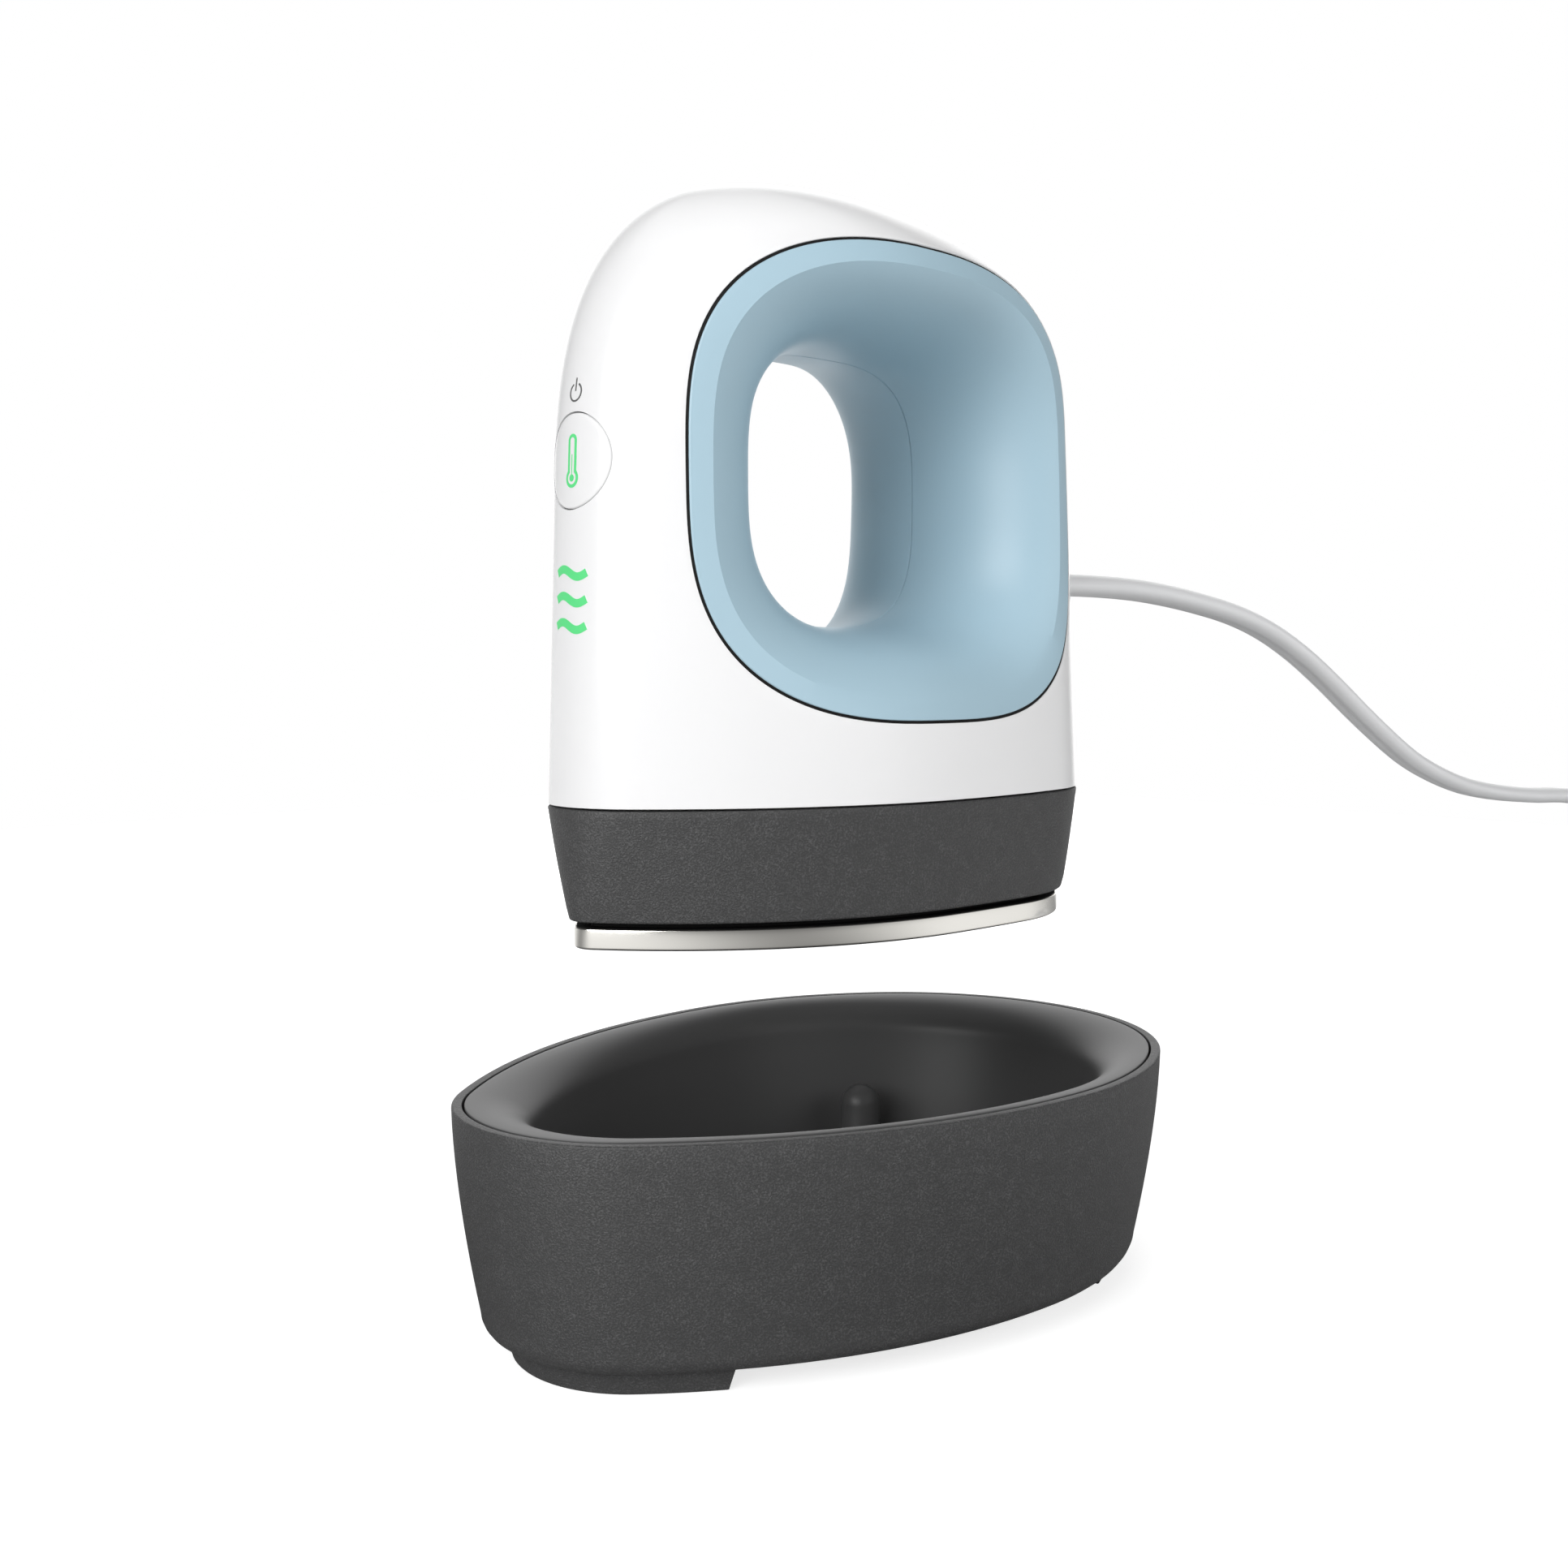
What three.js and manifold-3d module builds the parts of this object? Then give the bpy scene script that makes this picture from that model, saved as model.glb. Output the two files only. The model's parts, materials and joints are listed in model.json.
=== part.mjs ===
// A hand-held mini heat press above its resting stand.
// Millimetres, +Z up. X runs from the nose (-X, where the button is) to the tail (+X, where the
// cord leaves), and the object mirrors about Y = 0. Heights are measured from the hot face of the
// plate, and the finished group is moved so that its origin is the middle of the hand hole.
import * as THREE from "three";
import { mergeVertices, toCreasedNormals } from "three/addons/utils/BufferGeometryUtils.js";
import Module from "manifold-3d";

const wasm = await Module();
wasm.setup();

// General fits
const fitGap = 0.3; // clearance between pieces that touch
const seamGap = 0.3; // shadow line between shell and band
const pressLift = 32; // how far the press hangs above its seat in the stand

// Heat plate
const plateLength = 82.6;
const plateWidth = 48.7;
const plateNoseRadius = 3.2;
const plateTailRadius = 24.1;
const plateWidestAt = 3;
const plateEdge = 2.7; // height of the bare metal side
const plateEdgeRound = 0.25;
const plateNeckInset = 2.2;
const plateTop = 6.5;
const studRadius = 2.7;
const studsFromNose = 6.3; // places of the four studs, from the plate's ends and sides
const studsFromTail = 6.1;
const studsFromSide = 5.75;
const sideStudsAt = 2;

// Band below the shell
const bandOverPlate = 0.85; // groove between the bare metal side and the band
const bandOverhang = 0.7;
const bandWall = 1.9;
const bandLip = 0.35;

// Shell: at its seam it stands out beyond the plate all round
const shellSeam = 18.1;
const noseOverhang = 2;
const tailOverhang = 4.6;
const sideOverhang = 1.35;
const shellNoseRadius = 11.9;
const shellTailRadius = 23.6;
const shellWidestAt = 1.8;
const shellTop = 99.4;
const shellPeakAt = -13;
const shellWall = 2.4;
const noseDraft = 0.034; // lean of each face, in millimetres for each millimetre of height
const tailDraft = 0.077;
const sideSwell = 0.012;
const noseCrown = 38.2; // how far below the top each face starts to turn in
const tailCrown = 29.8;
const sideCrown = 23.4;
const noseBend = 2.4; // exponents of the rounded shoulders
const tailBend = 2.58;
const sideBend = 2.3;

// Hand opening and its two grip inserts
const openingFromNose = 9.6; // its edges, from the shell's ends and top and from the seam
const openingFromTail = 13.6;
const openingFromTop = 9.4;
const openingFromSeam = 10.7;
const openingSquareness = 3.1;
const bevelWidth = 2.7;
const bevelDrop = 0.9;
const neckAft = 4.85; // the neck's middle, from the opening's middle
const neckUp = 0.6;
const neckLength = 32.4;
const neckHeight = 37;
const neckSquareness = 2.3;
const insertWall = 2;
const insertFlange = 1.5;

// Button, lights and cord outlet
const buttonZ = 61.4;
const buttonDiameter = 11.9;
const buttonTravel = 0.6;
const buttonStem = 3;
const lightZ = [47.6, 44.3, 41.1];
const lightBarHalf = 1.1;
const cordZ = 49;
const bushNeck = 8.4;
const bushLength = 4.5; // from the shell's wall to the end of the sleeve
const bushFlange = 9.8; // over the hole in the wall

// Element, and what lies on it from the plate up
const elementDiameter = 5.2;
const elementZ = 7;
const elementBend = 9;
const elementFromNose = 27.3; // of the plate
const elementFromTail = 15.3;
const elementTop = 18.5;
const leadDiameter = 2.2;
const supplyDiameter = 3;
const stackInset = 9.6;
const clampThickness = 0.8;
const padThickness = 1;
const shieldThickness = 0.6;
const windowMargin = 5; // round the raised ends of the element

// Inner frame and boards
const frameWall = 1.6;
const frameAboveShield = 1.8;
const frameHeight = 7;
const frameTaper = 1.2; // the foot of its wall leans in beside the band
const boardThickness = 1.6;
const powerBoardWidth = 20;
const powerBoardRise = 5.2; // above the underside of the frame's floor
const powerBoardFromElement = 5.5;
const controlBoardWidth = 12;
const controlBoardFromNose = 13.3; // of the shell
const controlBoardAboveButton = 9.6;
const relayWidth = 15.4;
const relayHeight = 11;
const blockLength = 6;
const blockWidth = 16;
const blockHeight = 7;
const switchSize = 6.2;
const switchDepth = 3.4;
const ledDepth = 1.6;
const ledAside = 4.6; // the lamp beside the switch

// Screws
const screwShaft = 2.6;
const screwHead = 5;
const screwHeadHeight = 1.8;
const plateScrewLength = 11;
const shellScrewLength = 9.6;
const standScrewLength = 4;
const bossDiameter = 5.6;
const bossTop = 27;
const shellScrewsFromNose = 21.3; // places of the shell's bosses, from its ends and sides
const shellScrewsFromTail = 31.9;
const noseScrewsFromSide = 15.1;
const tailScrewsFromSide = 8.7;

// Stand: its rim stands out beyond the plate all round
const rimBelow = 20.6; // the rim and the floor lie this far below the face of the plate
const standFloor = 50.5;
const footHeight = 3.3;
const rimBeyondNose = 14.9;
const rimBeyondTail = 17.1;
const rimBeyondSide = 15.7;
const standNoseRadius = 24;
const standTailRadius = 36.8;
const standWidestAt = 11.7;
const standTaper = 4;
const standWall = 2;
const rimWidth = 1.35;
const lipRadius = 5.2;
const linerWall = 2;
const linerLean = 2.5;
const linerFloorRound = 4;
const linerFloorGap = 0.5;
const bottomRound = 2.8;
const footInset = 2.3; // from the flat of the floor's edge
const footDraft = 1.2;
const frontFootReach = 22.8; // from the rim's ends to the straight ends of the feet
const backFootReach = 28.2;
const pinDiameter = 6.3;
const pinsFromNose = 19.3; // places of the pins below the plate, from its ends and sides
const pinsFromTail = 12.8;
const nosePinsFromSide = 11.35;
const tailPinsFromSide = 6.35;
const standScrewsFromNose = 28.2; // from the rim
const standScrewsFromTail = 34.2;
const standScrewsFromSide = 18.2;

// Cord: a flat two-core lead
const cordWidth = 6;
const cordThickness = 3.7;
const coilCentre = [246, -60];
const coilInnerRadius = 29.5;
const coilPitch = 6.8; // from one turn to the next in a layer
const coilLoopsPerLayer = 1.4375;
const coilLayers = 4;
const coilLayerPitch = 4.5;
const plugWidth = 25;
const plugThickness = 16;
const plugLength = 40;
const bladeSpacing = 12.7;
const bladeThickness = 1.5;
const bladeHeight = 6.35;
const bladeLength = 15.9;

const outlineSteps = { nose: 4, front: 5, rear: 5, tail: 6 };
const openingPoints = 40;
const boreSides = 8;

// Places that follow from the sizes above
const bandBottom = plateEdge + bandOverPlate;
const shellNose = -plateLength / 2 - noseOverhang;
const shellTail = plateLength / 2 + tailOverhang;
const shellWidth = plateWidth + 2 * sideOverhang;
const openingFront = shellNose + openingFromNose;
const openingBack = shellTail - openingFromTail;
const openingX = (openingFront + openingBack) / 2;
const openingLength = openingBack - openingFront;
const openingHeight = shellTop - openingFromTop - shellSeam - openingFromSeam;
const openingZ = shellSeam + openingFromSeam + openingHeight / 2;
const neckX = openingX + neckAft;
const neckZ = openingZ + neckUp;
const wallAtCord = shellTail - tailDraft * (cordZ - shellSeam);
const cordStart = wallAtCord + bushLength;
const elementFront = -plateLength / 2 + elementFromNose;
const elementBack = plateLength / 2 - elementFromTail;
const clampBottom = elementZ + elementDiameter / 2 + fitGap;
const padBottom = clampBottom + clampThickness + fitGap;
const studTop = padBottom + padThickness + fitGap;
const shieldBottom = studTop + fitGap;
const shieldTop = shieldBottom + shieldThickness;
const frameFloor = shieldTop + frameAboveShield;
const frameRim = frameFloor + frameHeight;
const powerBoardZ = frameFloor + powerBoardRise;
const boardTop = powerBoardZ + boardThickness + fitGap;
const controlBoardX = shellNose + controlBoardFromNose;
const standNose = -plateLength / 2 - rimBeyondNose;
const standTail = plateLength / 2 + rimBeyondTail;
const standWidth = plateWidth + 2 * rimBeyondSide;
const standFoot = standFloor + footHeight;

const bothSides = (x, y) => [[x, y], [x, -y]];
const studSpots = [
  [-plateLength / 2 + studsFromNose, 0],
  [plateLength / 2 - studsFromTail, 0],
  ...bothSides(sideStudsAt, plateWidth / 2 - studsFromSide),
];
const screwSpots = [
  ...bothSides(shellNose + shellScrewsFromNose, shellWidth / 2 - noseScrewsFromSide),
  ...bothSides(shellTail - shellScrewsFromTail, shellWidth / 2 - tailScrewsFromSide),
];
const pinSpots = [
  ...bothSides(plateLength / 2 - pinsFromTail, plateWidth / 2 - tailPinsFromSide),
  ...bothSides(-plateLength / 2 + pinsFromNose, plateWidth / 2 - nosePinsFromSide),
];
const standScrewSpots = [
  [standNose + standScrewsFromNose, 0],
  [standTail - standScrewsFromTail, 0],
  ...bothSides(0, standWidth / 2 - standScrewsFromSide),
];
const powerBoard = {
  x0: screwSpots[0][0] + bossDiameter / 2 + 2.2,
  x1: elementBack - powerBoardFromElement,
  half: powerBoardWidth / 2,
};
const boardSpots = [powerBoard.x0 + 3, powerBoard.x1 - 3].flatMap((x) =>
  bothSides(x, powerBoard.half - 2.5));
const block = { x0: powerBoard.x1 - blockLength - 1.5, x1: powerBoard.x1 - 1.5, half: blockWidth / 2 };

// Finishes
const glossWhite = { color: 0xf3f3f3, roughness: 0.18, metalness: 0 };
const softBlue = { color: 0xa5c0cf, roughness: 0.55, metalness: 0 };
const charcoal = { color: 0x48494b, roughness: 0.72, metalness: 0 };
const charcoalSatin = { color: 0x55565a, roughness: 0.5, metalness: 0 };
const castAlloy = { color: 0xc9c5bb, roughness: 0.32, metalness: 0.9 };
const steel = { color: 0x9a9da1, roughness: 0.35, metalness: 1 };
const brass = { color: 0xc8a24a, roughness: 0.3, metalness: 1 };
const mica = { color: 0xcbb68a, roughness: 0.8, metalness: 0 };
const innerPlastic = { color: 0xd9d9d4, roughness: 0.6, metalness: 0 };
const boardGreen = { color: 0x1f6b45, roughness: 0.5, metalness: 0 };
const darkPlastic = { color: 0x26272a, roughness: 0.5, metalness: 0 };
const clearPlastic = { color: 0xdfe8e2, roughness: 0.15, metalness: 0 };
const greenLight = { color: 0x5fe08a, roughness: 0.3, metalness: 0 };
const cordGrey = { color: 0xdadbdc, roughness: 0.38, metalness: 0 };

// The press is lifted out of the stand, so both share one height scale: the stand's heights
// are negative. Everything is then moved to the middle of the hand hole.
const object = new THREE.Group();
const assembly = new THREE.Group();
assembly.position.set(-neckX, 0, -neckZ);
object.add(assembly);

const v3 = (x, y, z) => new THREE.Vector3(x, y, z);

// Outlines seen from above: two side arcs a side, a nose arc and a tail arc, all tangent.
function plan(nose, tail, widest, half, noseRadius, tailRadius) {
  return { nose, tail, widest, half, noseRadius, tailRadius };
}

function insetPlan(p, d) {
  return plan(p.nose + d, p.tail - d, p.widest, p.half - d, p.noseRadius - d, p.tailRadius - d);
}

function mixPlan(p, q, t) {
  const mix = (key) => p[key] + (q[key] - p[key]) * t;
  return plan(mix("nose"), mix("tail"), mix("widest"), mix("half"), mix("noseRadius"), mix("tailRadius"));
}

// One quarter of an outline, of length a, half width b and end radius r.
function quarterArcs(a, b, r) {
  const end = Math.max(0.02, Math.min(r, a * 0.98, b * 0.98));
  const length = Math.max(a, b * 1.001);
  const reach = length - end;
  const side = (reach ** 2 + b ** 2 - end ** 2) / (2 * (b - end));
  return { end, reach, side, b, join: Math.atan2(side - b, reach) };
}

function quarterPoints(a, b, r, sideSteps, endSteps) {
  const q = quarterArcs(a, b, r);
  const points = [];
  for (let i = 0; i < sideSteps; i++) {
    const t = Math.PI / 2 + (q.join - Math.PI / 2) * (i / sideSteps);
    points.push([q.side * Math.cos(t), q.b - q.side + q.side * Math.sin(t)]);
  }
  for (let i = 0; i <= endSteps; i++) {
    const t = q.join * (1 - i / endSteps);
    points.push([q.reach + q.end * Math.cos(t), q.end * Math.sin(t)]);
  }
  return points;
}

function planRing(p, z) {
  const s = outlineSteps;
  const front = quarterPoints(p.widest - p.nose, p.half, p.noseRadius, s.front, s.nose);
  const rear = quarterPoints(p.tail - p.widest, p.half, p.tailRadius, s.rear, s.tail);
  const near = [
    ...front.map(([x, y]) => [p.widest - x, -y]).reverse(),
    ...rear.slice(1).map(([x, y]) => [p.widest + x, -y]),
  ];
  const far = near.slice(1, -1).map(([x, y]) => [x, -y]).reverse();
  return [...near, ...far].map(([x, y]) => v3(x, y, z));
}

function halfWidthOf(p, x) {
  if (x <= p.nose || x >= p.tail) return 0;
  const ahead = x < p.widest;
  const t = Math.abs(x - p.widest);
  const q = ahead
    ? quarterArcs(p.widest - p.nose, p.half, p.noseRadius)
    : quarterArcs(p.tail - p.widest, p.half, p.tailRadius);
  if (t < q.side * Math.cos(q.join)) return Math.sqrt(q.side ** 2 - t ** 2) - (q.side - q.b);
  return Math.sqrt(Math.max(0, q.end ** 2 - (t - q.reach) ** 2));
}

// Solids
const planarArea = 1e-9;

function signedVolume(position, index) {
  const p = (i) => v3(position[3 * i], position[3 * i + 1], position[3 * i + 2]);
  let sum = 0;
  for (let i = 0; i < index.length; i += 3) {
    sum += p(index[i]).dot(p(index[i + 1]).cross(p(index[i + 2])));
  }
  return sum;
}

function indexed(points, index) {
  const position = points.flatMap((p) => [p.x, p.y, p.z]);
  if (signedVolume(position, index) < -planarArea) {
    for (let i = 0; i < index.length; i += 3) [index[i], index[i + 1]] = [index[i + 1], index[i]];
  }
  const geometry = new THREE.BufferGeometry();
  geometry.setAttribute("position", new THREE.Float32BufferAttribute(position, 3));
  geometry.setIndex(index);
  return geometry;
}

// Skins rings of equal length one after another. Open ends get a flat cap, or the last ring
// joins the first where the skin is a closed loop.
function loft(rings, closed = false) {
  const count = rings[0].length;
  const points = rings.flat();
  const index = [];
  const bands = closed ? rings.length : rings.length - 1;
  for (let r = 0; r < bands; r++) {
    const a = r * count;
    const b = ((r + 1) % rings.length) * count;
    for (let i = 0; i < count; i++) {
      const j = (i + 1) % count;
      index.push(a + i, a + j, b + j, a + i, b + j, b + i);
    }
  }
  if (!closed) {
    for (const [ring, start, flip] of [[rings[0], 0, true], [rings.at(-1), points.length - count, false]]) {
      const centre = points.length;
      points.push(ring.reduce((s, p) => s.add(p), v3(0, 0, 0)).divideScalar(count));
      for (let i = 0; i < count; i++) {
        const j = (i + 1) % count;
        index.push(...(flip ? [centre, start + j, start + i] : [centre, start + i, start + j]));
      }
    }
  }
  return indexed(points, index);
}

function solid(geometry) {
  const bare = (geometry.index ? geometry.toNonIndexed() : geometry).clone();
  for (const name of Object.keys(bare.attributes)) if (name !== "position") bare.deleteAttribute(name);
  const merged = mergeVertices(bare, 1e-4);
  const mesh = new wasm.Mesh({
    numProp: 3,
    vertProperties: new Float32Array(merged.attributes.position.array),
    triVerts: new Uint32Array(merged.index.array),
  });
  return new wasm.Manifold(mesh);
}

function geometryOf(body) {
  const mesh = body.getMesh();
  const geometry = new THREE.BufferGeometry();
  const position = new Float32Array(mesh.numVert * 3);
  for (let i = 0; i < mesh.numVert; i++) {
    for (let k = 0; k < 3; k++) position[3 * i + k] = mesh.vertProperties[i * mesh.numProp + k];
  }
  geometry.setAttribute("position", new THREE.BufferAttribute(position, 3));
  geometry.setIndex(new THREE.BufferAttribute(new Uint32Array(mesh.triVerts), 1));
  return geometry;
}

function cut(geometry, ...tools) {
  return geometryOf(tools.reduce((body, tool) => body.subtract(solid(tool)), solid(geometry)));
}

function join(geometry, ...others) {
  return geometryOf(others.reduce((body, other) => body.add(solid(other)), solid(geometry)));
}

function keepInside(geometry, other) {
  return geometryOf(solid(geometry).intersect(solid(other)));
}

function box(x0, x1, y0, y1, z0, z1) {
  const geometry = new THREE.BoxGeometry(x1 - x0, y1 - y0, z1 - z0);
  return geometry.translate((x0 + x1) / 2, (y0 + y1) / 2, (z0 + z1) / 2);
}

function post(x, y, z0, z1, diameter, sides = 12) {
  const geometry = new THREE.CylinderGeometry(diameter / 2, diameter / 2, z1 - z0, sides);
  return geometry.rotateX(Math.PI / 2).translate(x, y, (z0 + z1) / 2);
}

function rodAlongX(x0, x1, y, z, diameter, sides = 16) {
  const geometry = new THREE.CylinderGeometry(diameter / 2, diameter / 2, x1 - x0, sides);
  return geometry.rotateZ(-Math.PI / 2).translate((x0 + x1) / 2, y, z);
}

// A tube along a curve, with an oval section whose wide side stays level.
function levelTube(curve, steps, wide, thick, sides) {
  curve.computeFrenetFrames = function (segments) {
    const frames = { tangents: [], normals: [], binormals: [] };
    for (let i = 0; i <= segments; i++) {
      const tangent = this.getTangentAt(i / segments).normalize();
      const level = v3(0, 0, 1).cross(tangent).normalize();
      frames.tangents.push(tangent);
      frames.normals.push(level);
      frames.binormals.push(tangent.clone().cross(level));
    }
    return frames;
  };
  const section = new THREE.Shape();
  for (let i = 0; i < sides; i++) {
    const t = (2 * Math.PI * (i + 0.5)) / sides;
    section[i ? "lineTo" : "moveTo"]((wide / 2) * Math.cos(t), (thick / 2) * Math.sin(t));
  }
  return new THREE.ExtrudeGeometry(section, { steps, extrudePath: curve, curveSegments: 1 });
}

function addMesh(name, geometry, finish) {
  const mesh = new THREE.Mesh(toCreasedNormals(geometry, 0.6), new THREE.MeshStandardMaterial(finish));
  mesh.name = name;
  assembly.add(mesh);
  return mesh;
}

// Plans that several pieces share
const platePlan = plan(
  -plateLength / 2, plateLength / 2, plateWidestAt, plateWidth / 2, plateNoseRadius, plateTailRadius,
);
const seamPlan = plan(
  shellNose, shellTail, shellWidestAt, shellWidth / 2, shellNoseRadius, shellTailRadius,
);
const rimPlan = plan(
  standNose, standTail, standWidestAt, standWidth / 2, standNoseRadius, standTailRadius,
);

// Shell: the plan at each height, with each face leaning a little and then rounding over.
function shoulder(z, start, top, bend) {
  if (z <= start) return 1;
  return Math.max(0, 1 - ((z - start) / (top - start)) ** bend) ** (1 / bend);
}

function shellPlan(z, inset = 0) {
  const rise = z - shellSeam;
  const top = shellTop - inset;
  const nose = shellNose + noseDraft * rise + inset;
  const tail = shellTail - tailDraft * rise - inset;
  const atNose = shoulder(z, shellTop - noseCrown, top, noseBend);
  const atTail = shoulder(z, shellTop - tailCrown, top, tailBend);
  const atSide = shoulder(z, shellTop - sideCrown, top, sideBend);
  const half = (shellWidth / 2 + sideSwell * rise - inset) * atSide;
  return plan(
    shellPeakAt + (nose - shellPeakAt) * atNose,
    shellPeakAt + (tail - shellPeakAt) * atTail,
    shellPeakAt + (shellWidestAt - shellPeakAt) * atNose,
    half,
    (shellNoseRadius - inset) * (half / (shellWidth / 2 - inset)),
    (shellTailRadius - inset) * (half / (shellWidth / 2 - inset)),
  );
}

const shellHalfWidth = (x, z, inset = 0) =>
  z >= shellTop - inset ? 0 : halfWidthOf(shellPlan(z, inset), x);

function shellForm(bottom, inset, domeSteps = 10) {
  const top = shellTop - inset;
  const domeStart = shellTop - noseCrown - 6;
  const walls = [bottom, (bottom + domeStart) / 2, domeStart];
  for (let i = 1; i <= domeSteps; i++) {
    walls.push(domeStart + (top - domeStart) * Math.sin((Math.PI / 2) * (i / (domeSteps + 0.35))));
  }
  return loft(walls.map((z) => planRing(shellPlan(z, inset), z)));
}

// A rounded outline in the XZ plane, at the given distance along Y.
function ovalPoint(t, x, z, length, height, squareness) {
  const power = 2 / squareness;
  const grow = (value) => Math.sign(value) * Math.abs(value) ** power;
  return [x + (length / 2) * grow(Math.cos(t)), z + (height / 2) * grow(Math.sin(t))];
}

function ovalRing(x, z, length, height, squareness, depthAt) {
  return Array.from({ length: openingPoints }, (_, i) => {
    const t = (2 * Math.PI * (i + 0.5)) / openingPoints;
    const [px, pz] = ovalPoint(t, x, z, length, height, squareness);
    return v3(px, depthAt(px, pz), pz);
  });
}

function outerShell() {
  const reach = shellWidth;
  const shell = cut(
    shellForm(shellSeam + seamGap / 2, 0),
    shellForm(shellSeam - 1, shellWall, 7),
    loft([-reach, reach].map((y) =>
      ovalRing(openingX, openingZ, openingLength + 2 * fitGap, openingHeight + 2 * fitGap,
        openingSquareness, () => y))),
    rodAlongX(shellNose - 3, controlBoardX, 0, buttonZ, buttonDiameter + 2 * fitGap, 28),
    rodAlongX(shellTail - 12, shellTail + 3, 0, cordZ, bushNeck + 2 * fitGap),
  );
  const bosses = screwSpots.flatMap(([x, y]) => {
    const wall = Math.sign(y) * shellHalfWidth(x, bossTop, shellWall / 2);
    const rib = box(
      x - 1, x + 1, Math.min(y, wall), Math.max(y, wall), frameRim + fitGap, bossTop - 1,
    );
    return [post(x, y, frameFloor + frameWall + fitGap, bossTop, bossDiameter), rib];
  });
  const bores = screwSpots.map(([x, y]) => screwBore(x, y, frameFloor, bossTop - 1.5));
  return cut(join(shell, ...bosses), ...bores);
}

// Grip insert: a bevelled rim flush with the shell, then a rounded funnel down to the neck.
function gripInsert(side) {
  const y = (depth) => side * depth;
  const surface = (inset) => (x, z) => y(shellHalfWidth(x, z, inset));
  const outer = (grow, depthAt) =>
    ovalRing(openingX, openingZ, openingLength + 2 * grow, openingHeight + 2 * grow,
      openingSquareness, depthAt);
  const crestDepth = (x, z) => shellHalfWidth(x, z) - bevelDrop;
  const splitDepth = fitGap / 2;
  const funnelSteps = 6;
  const funnel = (grow, steps) => {
    const crest = outer(-bevelWidth + grow, (x, z) => crestDepth(x, z) - grow * 0.9);
    const neck = ovalRing(neckX, neckZ, neckLength + 2 * grow, neckHeight + 2 * grow,
      neckSquareness, () => splitDepth);
    return Array.from({ length: steps + 1 }, (_, k) => {
      const bend = Math.sin((Math.PI / 2) * (k / steps));
      const spread = 1 - Math.sqrt(Math.max(0, 1 - bend ** 2));
      return neck.map((p, i) => {
        const q = crest[i];
        return v3(p.x + (q.x - p.x) * spread, y(p.y + (q.y - p.y) * bend), p.z + (q.z - p.z) * spread);
      });
    });
  };
  const front = funnel(0, funnelSteps);
  const back = funnel(insertWall, funnelSteps - 2);
  const behindWall = shellWall + 0.6;
  return loft(
    [
      ...front,
      outer(0, surface(0)),
      outer(0, surface(behindWall)),
      outer(insertFlange, surface(behindWall)),
      outer(insertFlange, surface(behindWall + 1.2)),
      ...back.reverse().slice(1),
    ],
    true,
  );
}

// Button: a cap flush with the nose, a retaining tab above and below it behind the wall, and a stem.
function powerButton() {
  const rod = rodAlongX(shellNose - 3, controlBoardX, 0, buttonZ, buttonDiameter, 28);
  const cap = keepInside(shellForm(shellSeam, 0), rod);
  const tabReach = buttonDiameter / 2 + 1.4;
  const tabs = keepInside(
    shellForm(shellSeam, shellWall + fitGap),
    box(shellNose, controlBoardX, -3, 3, buttonZ - tabReach, buttonZ + tabReach),
  );
  const hollow = shellForm(shellSeam - 1, shellWall + fitGap + 1);
  const stem = rodAlongX(
    shellNose + shellWall + 1.5, switchTip - buttonTravel - fitGap, 0, buttonZ, buttonStem,
  );
  return join(cut(join(cap, tabs), hollow), stem);
}

function band() {
  const bottomPlan = insetPlan(platePlan, -bandOverhang);
  const top = shellSeam - seamGap / 2;
  const level = (t) => bandBottom + (top - bandBottom) * t;
  const wide = (t) => mixPlan(bottomPlan, seamPlan, Math.sin((Math.PI / 2) * t) * 0.25 + t * 0.75);
  const levels = [0.025, 0.35, 0.68, 1];
  return loft(
    [
      planRing(insetPlan(bottomPlan, bandLip), bandBottom),
      ...levels.map((t) => planRing(wide(t), level(t))),
      planRing(insetPlan(wide(1), bandWall), top),
      planRing(insetPlan(bottomPlan, bandWall), level(0.1)),
      planRing(insetPlan(bottomPlan, bandWall), bandBottom),
    ],
    true,
  );
}

// The bent tube of the element, raised at both ends for its terminals.
function elementCurve() {
  const bendSteps = 6;
  const corner = 5;
  const leg = (side) => [
    v3(elementBack, side * elementBend, elementTop),
    v3(elementBack, side * elementBend, elementZ + corner),
    v3(elementBack - corner * 0.29, side * elementBend, elementZ + corner * 0.29),
    v3(elementBack - corner, side * elementBend, elementZ),
    v3((elementBack + elementFront) / 2, side * elementBend, elementZ),
  ];
  const bend = Array.from({ length: bendSteps + 1 }, (_, i) => {
    const t = Math.PI / 2 + (Math.PI * i) / bendSteps;
    return v3(elementFront + elementBend * Math.cos(t), elementBend * Math.sin(t), elementZ);
  });
  return new THREE.CatmullRomCurve3([...leg(1), ...bend, ...leg(-1).reverse()], false, "centripetal");
}

function roundTube(curve, steps, diameter, sides) {
  const section = new THREE.Shape();
  for (let i = 0; i < sides; i++) {
    const t = (2 * Math.PI * i) / sides;
    section[i ? "lineTo" : "moveTo"]((diameter / 2) * Math.cos(t), (diameter / 2) * Math.sin(t));
  }
  return new THREE.ExtrudeGeometry(section, { steps, extrudePath: curve, curveSegments: 1 });
}

const elementTube = (diameter) => roundTube(elementCurve(), 30, diameter, 8);

// The opening that the raised ends of the element stand in
function terminalWindow() {
  const half = elementBend + windowMargin - 1.5;
  return box(elementBack - windowMargin, elementBack + windowMargin + 0.5, -half, half, 0, frameRim);
}

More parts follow.
